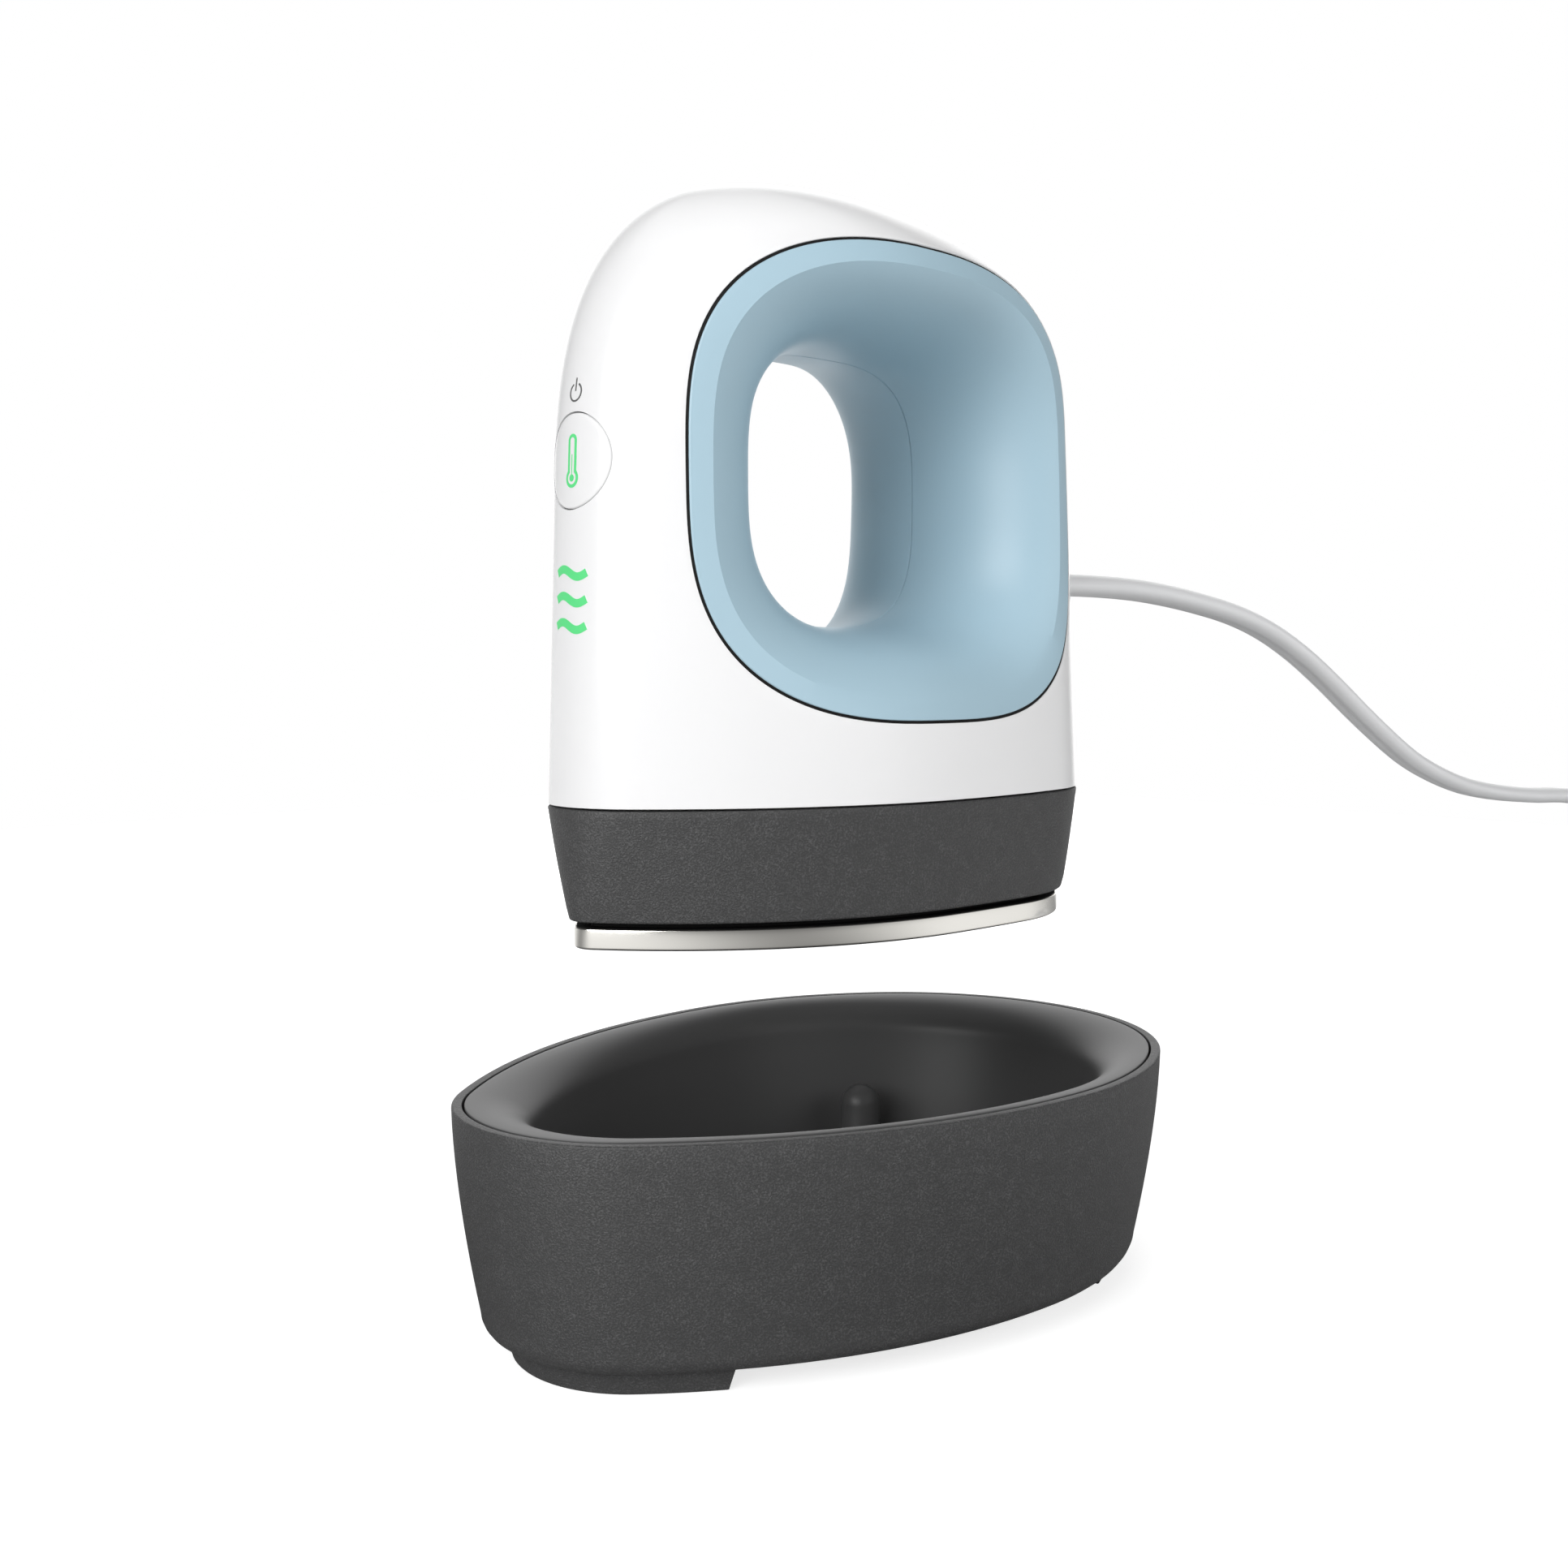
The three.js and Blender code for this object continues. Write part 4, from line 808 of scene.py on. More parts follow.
@dataclass
class Housing:
    """The white shell, its button and what is printed on or shines through its nose."""

    edge_round: float = 0.2
    rays_up: int = 34
    rays_over: int = 90
    rings: int = 26
    button_z: float = 61.4
    button_diameter: float = 11.9
    button_gap: float = 0.14
    waves: tuple[float, ...] = (47.5, 44.2, 40.9)
    knee: float = 62.0
    bevel_angle: float = 55.0
    hole_reach: tuple[float, float] = (-6.0, 12.0)

    def targets(self) -> list[tuple[float, float]]:
        """Points (x, z) round the edge of the side view that the mesh lines run out to."""
        bottom = SHELL.seam + GAP / 2
        plan = SHELL.plan(bottom)
        found = [(x, bottom) for x, _ in plan.near_side(4)]
        knee = self.knee
        climb = [bottom + (knee - bottom) * (i + 1) / self.rays_up for i in range(self.rays_up)]
        found += [(SHELL.plan(z).tail, z) for z in climb]
        centre = Vector((OPENING.x, OPENING.z))
        start = Vector((SHELL.plan(knee).tail, knee)) - centre
        stop = Vector((SHELL.plan(knee).nose, knee)) - centre
        first, last = math.atan2(start.y, start.x), math.atan2(stop.y, stop.x)
        for i in range(1, self.rays_over):
            angle = first + (last - first) * i / self.rays_over
            found.append(self.edge_toward(centre, Vector((math.cos(angle), math.sin(angle)))))
        found += [(SHELL.plan(z).nose, z) for z in reversed(climb)]
        return found

    @staticmethod
    def edge_toward(centre: Vector, way: Vector) -> tuple[float, float]:
        """Where a line from the opening's centre leaves the side view."""
        least, most = 20.0, 80.0
        reach, _ = halved(least, most, lambda far: SHELL.holds(*(centre + way * far)))
        return tuple(centre + way * reach)

    def shell(self) -> bpy.types.Object:
        """The outer shell: lines run from each side's opening to the middle plane and the seam."""
        targets = self.targets()
        hole = OPENING.grown(SEAM_WIDTH)
        points: list[Vector] = []
        faces: list[Sequence[int]] = []
        count = len(targets)
        for side in (-1, 1):
            first = len(points)
            for i in range(self.rings + 1):
                share = math.sin(math.pi / 2 * i / self.rings)
                for x, z in targets:
                    ax, az = hole.toward(x - hole.x, z - hole.z)
                    px, pz = ax + (x - ax) * share, az + (z - az) * share
                    half = SHELL.half_at(px, min(pz, SHELL.top - 1e-6))
                    on_edge = i == self.rings and z > SHELL.seam + GAP
                    points.append(Vector((px, 0.0 if on_edge else side * half, pz)))
            for i in range(self.rings):
                for j in range(count):
                    k = (j + 1) % count
                    a, b = first + i * count, first + (i + 1) * count
                    faces.append((a + j, a + k, b + k, b + j))
        made = make_mesh("outer_shell_skin", points, faces)
        merge_and_face_out(made)
        wall = made.modifiers.new("wall", "SOLIDIFY")
        wall.thickness = SHELL.wall * MM
        wall.offset = -1.0
        bevel = made.modifiers.new("edge", "BEVEL")
        bevel.width = self.edge_round * MM
        bevel.segments = 3
        bevel.limit_method = "ANGLE"
        bevel.angle_limit = math.radians(self.bevel_angle)
        bake_modifiers(made)
        self.cut_hole(made)
        shade(made, 40)
        return dress(made, GLOSS_WHITE, Slot.SHELL, Body.PRESS, "outer_shell")

    def cut_hole(self, made: bpy.types.Object) -> None:
        """Cuts the round hole that the button moves in."""
        radius = self.button_diameter / 2 + self.button_gap
        profile = [(radius, SHELL.nose + reach) for reach in self.hole_reach]
        cutter = turned_along_x("button_hole", profile, self.button_z, 128)
        cut = made.modifiers.new("hole", "BOOLEAN")
        cut.operation = "DIFFERENCE"
        cut.solver = "EXACT"
        cut.object = cutter
        bake_modifiers(made)
        bpy.data.objects.remove(cutter)

    def button(self) -> bpy.types.Object:
        """The button's cap, a disc that follows the nose, with a soft edge."""
        radius = self.button_diameter / 2
        sides, depth = 96, 2.3
        edge = 0.3
        rings = []
        steps = [0.02, 0.25, 0.45, 0.62, 0.76, 0.87, (radius - edge) / radius]
        sink = [0.0] * len(steps)
        for angle in arc(3)[1:]:
            steps.append((radius - edge + edge * math.sin(angle)) / radius)
            sink.append(edge * (1 - math.cos(angle)))
        steps.append(1.0)
        sink.append(depth)
        for share, down in zip(steps, sink):
            spots = [(radius * share * c, self.button_z + radius * share * s) for c, s in around(sides)]
            rings.append(self.on_nose(spots, -down))
        made = loft("power_button_cap", rings, sharp=50)
        return dress(made, GLOSS_WHITE, Slot.SHELL, Body.BUTTON, "power_button")

    def on_nose(self, outline: Sequence[tuple[float, float]], lift: float) -> Ring:
        """Points (y, z) laid on the nose, lifted a hair off it."""
        return [Vector((SHELL.front_x(y, z) - lift, y, z)) for y, z in outline]

    def inlay(self, name: str, rows: Sequence[Sequence[tuple[float, float]]], closed: bool,
              lift: float = 0.03) -> bpy.types.Object:
        """A thin closed strip on the nose between two outlines.

        Args:
            name: The piece's name.
            rows: The inner and the outer outline, as points (y, z).
            closed: Whether the outlines are closed rings.
            lift: How far the strip stands off the nose.

        Returns:
            The strip, not yet dressed.
        """
        inner, outer = rows
        base = -0.2
        rings = [
            self.on_nose(inner, base),
            self.on_nose(inner, lift),
            self.on_nose(outer, lift),
            self.on_nose(outer, base),
        ]
        if closed:
            return loft(name, rings, closed=True, sharp=30)
        return loft(name, [list(section) for section in zip(*rings)], sharp=30)

    def power_mark(self) -> None:
        """The generic on-off mark above the button: a broken circle and a bar."""
        middle_z, radius, width = 69.9, 1.1, 0.24
        opening = math.radians(27)
        angles = [
            math.pi / 2 + opening + (2 * math.pi - 2 * opening) * i / 40 for i in range(41)
        ]
        rows = [
            [(r * math.cos(a), middle_z + r * math.sin(a)) for a in angles]
            for r in (radius - width / 2, radius + width / 2)
        ]
        circle = self.inlay("power_mark_ring", rows, closed=False)
        dress(circle, PRINT_GREY, Slot.DARK, Body.PRESS)
        heights = [middle_z + 0.15 + 1.65 * i / 6 for i in range(7)]
        rows = [[(side * width / 2, z) for z in heights] for side in (-1, 1)]
        bar = self.inlay("power_mark_bar", rows, closed=False)
        dress(bar, PRINT_GREY, Slot.DARK, Body.PRESS)

    def heat_marks(self) -> None:
        """Three waves that glow green through the nose."""
        width, swing, thickness, steps = 5.9, 0.5, 1.06, 40
        for index, middle in enumerate(self.waves):
            rows: list[list[tuple[float, float]]] = [[], []]
            for i in range(steps + 1):
                turn = 2 * math.pi * i / steps
                y, z = width * (i / steps - 0.5), middle - swing * math.sin(turn)
                slope = -swing * math.cos(turn) * 2 * math.pi / width
                half = thickness / 2 / math.hypot(1.0, slope)
                for row, side in zip(rows, (-1, 1)):
                    row.append((y - side * slope * half, z + side * half))
            made = self.inlay(f"heat_wave_{index + 1}", rows, closed=False)
            dress(made, LAMP_GREEN, Slot.LIGHT, Body.PRESS)

    def heat_gauge(self) -> None:
        """The lit thermometer mark on the button: a green outline round a pale column."""
        bulb_z, top_z = 59.27, 63.89
        bulb, stem, line, reading_top = 1.22, 0.85, 0.44, 62.2

        def outline(shrink: float) -> list[tuple[float, float]]:
            """The mark's outline, drawn in evenly."""
            low, high = bulb - shrink, stem - shrink
            start = math.asin(min(1.0, high / low))
            points = []
            for i in range(33):
                angle = -math.pi / 2 - (math.pi - start) + (2 * math.pi - 2 * start) * i / 32
                points.append((low * math.cos(angle), bulb_z + low * math.sin(angle)))
            for i in range(17):
                angle = math.pi * i / 16
                points.append((high * math.cos(angle), top_z + high * math.sin(angle)))
            return points

        ring = self.inlay("heat_gauge_outline", [outline(line), outline(0.0)], closed=True)
        dress(ring, LAMP_GREEN, Slot.LIGHT, Body.BUTTON)
        middle = [(0.0, bulb_z + (z - bulb_z) * 0.5) for _, z in outline(line)]
        fill = self.inlay("heat_gauge_column", [middle, outline(line)], closed=True)
        dress(fill, PRINT_PALE, Slot.SHELL, Body.BUTTON)
        reading = [(y, min(z, reading_top)) for y, z in outline(line + 0.33)]
        middle = [(0.0, bulb_z + (z - bulb_z) * 0.5) for _, z in reading]
        column = self.inlay("heat_gauge_reading", [middle, reading], closed=True, lift=0.05)
        dress(column, LAMP_GREEN, Slot.LIGHT, Body.BUTTON)

    def build(self) -> None:
        """Builds the housing and everything on its nose."""
        self.shell()
        self.button()
        self.power_mark()
        self.heat_marks()
        self.heat_gauge()


@dataclass
class GripInsert:
    """One of the two moulded halves that line the hand hole."""

    side: int
    name: str
    bevel: float = 2.7
    drop: float = 0.9
    wall: float = 2.0
    flange: float = 1.5
    points: int = 200
    steps: int = 26
    edge: float = 0.2
    fullness: float = 2.06
    sweep: float = 78.0
    parting: float = 0.05

    def surface(self, inset: float) -> Callable[[float, float], float]:
        """The housing's side at an inset, as a function of the place in the side view."""
        return lambda x, z: self.side * SHELL.half_at(x, z, inset)

    def spread(self, bend: float) -> float:
        """How far the funnel has opened at a share of its depth."""
        return 1 - max(0.0, 1 - bend**self.fullness) ** (1 / self.fullness)

    def funnel(self, grow: float, steps: int) -> list[Ring]:
        """Rings from the neck out to the crest, on an arc that ends short of a quarter turn."""
        crest = OPENING.grown(grow - self.bevel).ring(
            self.points, lambda x, z: SHELL.half_at(x, z) - self.drop - grow * 0.9
        )
        neck = NECK.grown(grow).ring(self.points, lambda x, z: self.parting)
        full = math.sin(math.radians(self.sweep))
        most = self.spread(full)
        rings = []
        for k in range(steps + 1):
            bend = math.sin(math.radians(self.sweep) * k / steps) / full
            spread = self.spread(bend * full) / most
            rings.append([
                Vector((
                    p.x + (q.x - p.x) * spread,
                    self.side * (p.y + (q.y - p.y) * bend),
                    p.z + (q.z - p.z) * spread,
                ))
                for p, q in zip(neck, crest)
            ])
        return rings

    def build(self) -> bpy.types.Object:
        """Builds the insert with a soft outer edge."""
        behind = SHELL.wall + 0.6
        rings = self.funnel(0.0, self.steps)
        rings[0] = NECK.ring(self.points, lambda x, z: self.side * 3 * self.parting)
        rings.insert(0, NECK.grown(2 * self.parting).ring(self.points, lambda x, z: self.side * self.parting))
        slope = self.drop / self.bevel
        for angle in arc(3):
            out = -self.edge * (1 - math.sin(angle))
            down = self.edge * (1 - math.cos(angle)) - out * slope
            rings.append(OPENING.grown(out).ring(self.points, self.surface(down)))
        rings += [
            OPENING.ring(self.points, self.surface(behind)),
            OPENING.grown(self.flange).ring(self.points, self.surface(behind)),
            OPENING.grown(self.flange).ring(self.points, self.surface(behind + 1.2)),
        ]
        rings += list(reversed(self.funnel(self.wall, 12)))[1:]
        made = loft(self.name, rings, closed=True, sharp=17)
        self.seam()
        return dress(made, GRIP_BLUE, Slot.GRIP, Body.PRESS, self.name.replace("_lining", ""))

    def seam(self) -> bpy.types.Object:
        """The black ring at the bottom of the gap between the insert and the shell: painted shade in the gap."""
        made = loft(f"{self.name}_seam", [
            OPENING.grown(out).ring(self.points, self.surface(down))
            for out, down in ((0.01, 1.2), (0.01, 0.15), (SEAM_WIDTH - 0.01, 0.15), (SEAM_WIDTH - 0.01, 1.2))
        ], closed=True, sharp=50)
        return dress(made, SHADE_BLACK, Slot.DARK, Body.PRESS)


@dataclass
class HotEnd:
    """The dark band and the metal plate below it."""

    band_bottom: float = 3.55
    overhang: float = 0.7
    wall: float = 1.9
    lip: float = 0.35
    plate_edge: float = 2.7
    plate_round: float = 0.35
    neck_inset: float = 2.2
    band_swell: float = 0.25

    def band(self) -> bpy.types.Object:
        """The band, tapering from the seam to a small rounded lip."""
        low = PLATE.inset(-self.overhang)
        top = SHELL.seam - GAP / 2

        def wide(t: float) -> Plan:
            """The band's outline at a share of its height."""
            return low.mixed(SEAM, math.sin(math.pi / 2 * t) * self.band_swell + t * (1 - self.band_swell))

        rings = rings_of(low, [(self.wall, self.band_bottom + 0.2)])
        rings += rings_of(low, rounded((self.lip, self.band_bottom), (0.0, self.band_bottom + self.lip), 4, True))
        start, steps, top_round = self.lip / (top - self.band_bottom), 12, 0.2
        for i in range(1, steps):
            t = start + (1 - start) * i / steps
            rings.append(wide(t).ring(self.band_bottom + (top - self.band_bottom) * t))
        rings.append(wide(1).ring(top - top_round))
        rings += rings_of(wide(1), [(0.06, top - 0.06), (top_round, top), (self.wall, top)])
        made = loft("band_moulding", rings, closed=True, sharp=50)
        return dress(made, CHARCOAL, Slot.CHARCOAL, Body.PRESS, "band")

    def plate(self) -> bpy.types.Object:
        """The heat plate, with a softened edge and a polished face."""
        soft, low = 0.15, self.plate_round
        rows = rounded((low, 0.0), (0.0, low), 5, True)
        rows += rounded((0.0, self.plate_edge - soft), (soft, self.plate_edge), 3, False)
        made = loft("heat_plate_casting", rings_of(PLATE, rows, 8), sharp=60)
        return dress(made, WARM_ALLOY, Slot.ALLOY, Body.PRESS, "heat_plate")

    def gasket(self) -> bpy.types.Object:
        """A black ring that fills the groove between the plate's ledge and the band: painted shade in the groove."""
        steps = ((0.3, -0.3), (0.3, 0.03), (self.neck_inset, 0.06), (self.neck_inset, 3.5))
        rows = [(inset, self.plate_edge + up) for inset, up in steps]
        made = loft("plate_gasket", rings_of(PLATE, rows), sharp=50)
        return dress(made, SHADE_BLACK, Slot.DARK, Body.PRESS)

    def build(self) -> None:
        """Builds the band, the plate and the black ring of painted shade between them."""
        self.band()
        self.plate()
        self.gasket()


# Stand


@dataclass
class Stand:
    """The bowl-shaped stand that the hot press rests in."""

    rim: float = -20.6
    floor: float = -50.5
    taper: float = 4.0
    wall: float = 2.0
    rim_width: float = 1.35
    rim_round: float = 0.28
    lip_radius: float = 5.2
    lip_ends: float = 3.4
    liner_wall: float = 2.0
    lean: float = 2.5
    floor_round: float = 4.0
    floor_gap: float = 0.5
    bottom_round: float = 2.8
    foot_inset: float = 2.3
    foot_draft: float = 1.2
    foot_ends: tuple[float, float] = (-33.4, 30.2)
    draw_in: float = 1.6
    step_depth: float = 3.0
    wall_depth: float = 14.0
    pin_radius: float = 3.15
    pin_top: float = -32.3
    pins: tuple[tuple[float, float], ...] = ((28.5, 18.0), (28.5, -18.0), (-22.0, 13.0), (-22.0, -13.0))

    def inset_at(self, z: float) -> float:
        """How far the outer side has drawn in at a height."""
        return self.taper * max(0.0, (self.rim - z) / (self.rim - self.floor)) ** self.draw_in

    def outer(self) -> bpy.types.Object:
        """The outer tub."""
        at_corner = self.inset_at(self.floor + self.bottom_round)
        low, high, soft = self.floor + self.bottom_round, self.rim - self.rim_round, 0.12
        rows = rounded((at_corner + self.bottom_round, self.floor), (at_corner, low), 6, True)
        for i in range(1, 13):
            z = low + (high - low) * i / 12
            rows.append((self.inset_at(z), z))
        rows += rounded((0.0, high), (self.rim_round, self.rim), 4, False)[1:]
        rows += rounded((self.rim_width - soft, self.rim), (self.rim_width, self.rim - soft), 3, True)
        inside_top = self.rim - self.wall_depth
        rows.append((self.rim_width, self.rim - self.step_depth))
        rows.append((self.inset_at(inside_top) + self.wall, inside_top))
        inner_round, inside = self.bottom_round - self.wall, at_corner + self.wall
        inner_floor = self.floor + self.wall
        rows += rounded((inside, inner_floor + inner_round), (inside + inner_round, inner_floor), 3, False)
        made = loft("stand_tub", rings_of(RIM, rows), sharp=50)
        return dress(made, CHARCOAL, Slot.CHARCOAL, Body.STAND, "stand_shell")

    def liner(self) -> bpy.types.Object:
        """The satin liner with its wide rounded lip."""
        edge = self.rim_width + GAP
        under = self.floor + self.wall + self.floor_gap
        floor = under + self.liner_wall
        shoulder = edge + 0.8
        wall_top = self.rim - self.lip_radius
        wall_inset = shoulder + self.lip_radius
        bowl = wall_inset + self.lean
        ends = self.lip_ends
        profile = [
            (bowl - self.liner_wall + self.floor_round + 1, under, ends),
            (bowl - self.liner_wall + 1, under + self.floor_round, ends),
            (wall_inset - self.liner_wall + 0.4, wall_top - 3, ends),
            (edge + 1.6, self.rim - 3, 0.0),
            (edge, self.rim - 2.4, 0.0),
        ]
        soft = 0.2
        profile += rounded((edge, self.rim - soft, 0.0), (edge + soft, self.rim, 0.0), 3, False)
        profile += rounded((shoulder, self.rim, 0.0), (wall_inset, wall_top, ends), 12, True)
        steps = 6
        for i in range(1, steps):
            t = i / steps
            profile.append((wall_inset + self.lean * t, wall_top + (floor + self.floor_round - wall_top) * t, ends))
        profile += rounded(
            (bowl, floor + self.floor_round, ends), (bowl + self.floor_round, floor, ends), 8, False)
        rings = [RIM.inset(inset).shortened(ends).ring(z) for inset, z, ends in profile]
        made = loft("stand_bowl", rings, sharp=50)
        return dress(made, CHARCOAL_SATIN, Slot.SATIN, Body.STAND, "stand_liner")

    def rest_pins(self) -> bpy.types.Object:
        """The four domed pins that carry the plate, put in place by Geometry Nodes."""
        foot = self.floor + self.wall + self.floor_gap + self.liner_wall + GAP
        radius = self.pin_radius
        profile = [(0.01, foot), (radius + 0.5, foot), (radius + 0.35, foot + 0.4), (radius, foot + 1)]
        profile += [
            (max(0.01, radius * math.cos(a)), self.pin_top - radius + radius * math.sin(a)) for a in arc(10)
        ]
        part = turned("pin_form", profile, tuple(HAND_HOLE), 48)
        for vertex in part.data.vertices:
            vertex.co.z -= HAND_HOLE.z * MM
        spots = make_mesh("pin_spots", [Vector((x, y, HAND_HOLE.z)) for x, y in self.pins], [])
        tree = copies_tree(part, CHARCOAL_SATIN.material())
        made = tree.apply("rest_pins", spots, {"Turn": 0.0})
        bpy.data.objects.remove(part)
        names = [f"rest_pin_{i + 1}" for i in range(len(self.pins))]
        shade(made, 50)
        return dress(made, CHARCOAL_SATIN, Slot.SATIN, Body.STAND, *names)

    def foot(self, name: str, node: str, tip: float, cut_at: float) -> bpy.types.Object:
        """One of the two feet: a shallow tapered pad between a tip of the outline and a straight end.

        Args:
            name: The piece's name.
            node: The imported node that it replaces.
            tip: Which end it lies at: -1 for the nose, 1 for the tail.
            cut_at: X of its straight end.

        Returns:
            The foot.
        """
        soft = 0.4
        wide = RIM.inset(self.taper + self.foot_inset)
        low = wide.inset(self.foot_draft - self.foot_draft * soft / (self.floor - TABLE))
        rings = [self.trimmed(wide, self.floor, tip, cut_at)]
        for inset, z in rounded((0.0, TABLE + soft), (soft, TABLE), 3, False):
            rings.append(self.trimmed(low.inset(inset), z, tip, cut_at))
        made = loft(name, rings, sharp=40)
        return dress(made, FOOT_RUBBER, Slot.RUBBER, Body.STAND, node)

    @staticmethod
    def trimmed(plan: Plan, z: float, tip: float, cut_at: float) -> Ring:
        """The part of an outline between its nose or tail and a straight line across it."""
        start, steps = (plan.nose if tip < 0 else plan.tail), 60
        near = [Vector((start, 0.0, z))]
        for i in range(1, steps + 1):
            x = start + (cut_at - start) * (1 - math.cos(math.pi / 2 * i / steps))
            near.append(Vector((x, -plan.half_at(x), z)))
        return near + [Vector((p.x, -p.y, z)) for p in reversed(near[1:])]

    def build(self) -> None:
        """Builds the stand."""
        self.outer()
        self.liner()
        self.rest_pins()
        self.foot("front_foot", "stand_foot_front", -1, self.foot_ends[0])
        self.foot("back_foot", "stand_foot_back", 1, self.foot_ends[1])


# Cord


@dataclass
class MainsLead:
    """The flat mains cord from the tail to its plug, wound up where the camera can't see it."""

    width: float = 6.0
    thickness: float = 3.7
    coil_centre: tuple[float, float] = (246.0, -60.0)
    inner_radius: float = 29.5
    pitch: float = 6.8
    loops_per_layer: float = 1.4375
    layers: int = 4
    layer_pitch: float = 4.5
    plug_back: float = 190.0
    plug_y: float = -91.0
    plug_width: float = 25.0
    plug_thickness: float = 16.0
    plug_length: float = 40.0
    route: tuple[Point, ...] = (
        (48.02, 0, 49), (58.6, 0, 49.1), (68, 0, 49.1), (78, 0, 48.8), (88, 0, 48), (98, 0, 46.8),
        (108.5, 0, 45.1), (119.5, 0, 42.3), (131.5, 0, 37.8), (143.5, 0, 32.1), (153.7, 0, 26.8),
        (164.5, 0, 21.5), (175.5, 0, 16.6), (187, 0, 12.8), (202, 0, 9.2), (221.5, 0, 6.6),
        (240, 0, 5.1), (256, -0.4, 4.2), (270, -4, 1.6), (284, -13, -6), (294, -27, -18),
        (298.5, -44, -32), (297, -62, -42), (289.5, -79, -48.5), (276, -93.5, -51.4),
        (259, -102.6, -51.85), (240, -104, -51.85), (224, -98.5, -51.85), (212.5, -87, -51.85),
    )
    stated_length: float = 1.8
    lead_in: tuple[Point, ...] = ((222, -96.5, 5), (209, -93, 1.6), (198, -91.3, 0.1))
    sleeve_wall: float = 43.52
    bore: float = 4.2

    @property
    def table(self) -> float:
        """Height of the cord's centre line where it lies on the table."""
        return TABLE + self.thickness / 2 + 0.1

    @property
    def plug_z(self) -> float:
        """Height of the plug's middle, where it lies on the table."""
        return TABLE + self.plug_thickness / 2 + 0.1

    @property
    def turns(self) -> float:
        """How many turns the coil has."""
        return self.loops_per_layer * self.layers

    def coil_point(self, turn: float) -> Vector:
        """A point of the coil's centre line: layers spiral in and out and climb as they turn back."""
        along = turn / self.loops_per_layer
        layer = min(self.layers - 1, math.floor(along))
        within = along - layer
        outward = within if layer % 2 else 1 - within
        radius = self.inner_radius + self.pitch * self.loops_per_layer * outward
        nearest = math.floor(along + 0.5)
        climbed = (along - nearest) * self.loops_per_layer * 2 + 0.5
        climbing = 0 < nearest < self.layers and 0 < climbed < 1
        level = nearest - 1 + (1 - math.cos(math.pi * climbed)) / 2 if climbing else layer
        angle = math.pi - 2 * math.pi * turn
        return Vector((
            self.coil_centre[0] + radius * math.cos(angle),
            self.coil_centre[1] + radius * math.sin(angle),
            self.table + self.layer_pitch * level,
        ))

    def coil_end(self, turn: float, outward: int) -> Vector:
        """The end of the straight stretch beyond the first or last turn."""
        tip = self.coil_point(turn)
        way = tip - self.coil_point(turn - outward * 0.01)
        way.z = 0.0
        return tip + way.normalized() * self.width

    def path(self) -> list[Vector]:
        """The whole centre line, from the exit to the plug."""
        start = self.coil_end(0, -1)
        toward = (self.coil_point(0) - start).normalized()
        approach = [Vector(p) for p in self.route]
        approach += [start - toward * (GAP + self.width), start - toward * GAP]
        steps = 48
        count = round(self.turns * steps)
        wound = [self.coil_point(self.turns * i / count) for i in range(count + 1)]
        tip = self.coil_end(self.turns, 1)
        away = (tip - wound[-1]).normalized()
        leaving = tip + away * GAP
        last = [
            leaving,
            leaving + away * 5 + Vector((0, 0.3, -0.3)),
            *(Vector((x, y, self.plug_z + up)) for x, y, up in self.lead_in),
            Vector((self.plug_back + GAP, self.plug_y, self.plug_z)),
        ]
        return centripetal(approach, 8) + [start] + wound + [tip] + centripetal(last, 6)

    def cord(self, with_pieces: list[bpy.types.Object]) -> bpy.types.Object:
        """The cord itself, swept by Geometry Nodes; the length of its path is logged."""
        points = [placed(p) for p in self.path()]
        curve = bpy.data.curves.new("cord_line", "CURVE")
        curve.dimensions = "3D"
        spline = curve.splines.new("POLY")
        spline.points.add(len(points) - 1)
        for spot, point in zip(spline.points, points):
            spot.co = (*point, 1.0)
        tree = level_tube_tree(CORD_SHEATH.material())
        made = tree.apply("mains_cord", add_object("cord_line", curve), {
            "Width": self.width * MM, "Thickness": self.thickness * MM, "Sides": 36, "Groove": -0.3,
        })
        merge_and_face_out(made, 0.001)
        shade(made, 60)
        dress(made, CORD_SHEATH, Slot.CORD, Body.PRESS, "cord", "cord_coil", "cord_end")
        length = sum((b - a).length for a, b in zip(points, points[1:]))
        LOG.info("cord length %.3f m", length)
        return made

    def bush(self) -> bpy.types.Object:
        """The moulded sleeve that the cord leaves the shell through."""
        wall, bore, z = self.sleeve_wall, self.bore, self.route[0][2]
        flange, collar, soft = 5.6, 4.9, 0.5
        profile = [(0.01, wall - 5.8), (flange, wall - 5.8), (flange, wall - 3.6)]
        profile += [(bore, wall - 3.6), (bore, wall + 0.6)]
        profile += [(collar - soft * (1 - math.cos(a)), wall + 1.1 + soft * math.sin(a)) for a in arc(4)]
        profile += [(bore, wall + 1.75), (3.7, wall + 4.05), (3.5, wall + 4.2), (0.01, wall + 4.2)]
        made = turned_along_x("cord_sleeve", profile, z, 64)
        shade(made, 40)
        return dress(made, CORD_SHEATH, Slot.CORD, Body.PRESS, "cord_bush")

    def plug_ring(self, x: float, wide: float, tall: float, squareness: float) -> Ring:
        """A rounded section of the plug at a place along X."""
        oval = Oval(self.plug_y, self.plug_z, wide, tall, squareness)
        return [Vector((x, *oval.point(2 * math.pi * (i + 0.5) / 72))) for i in range(72)]

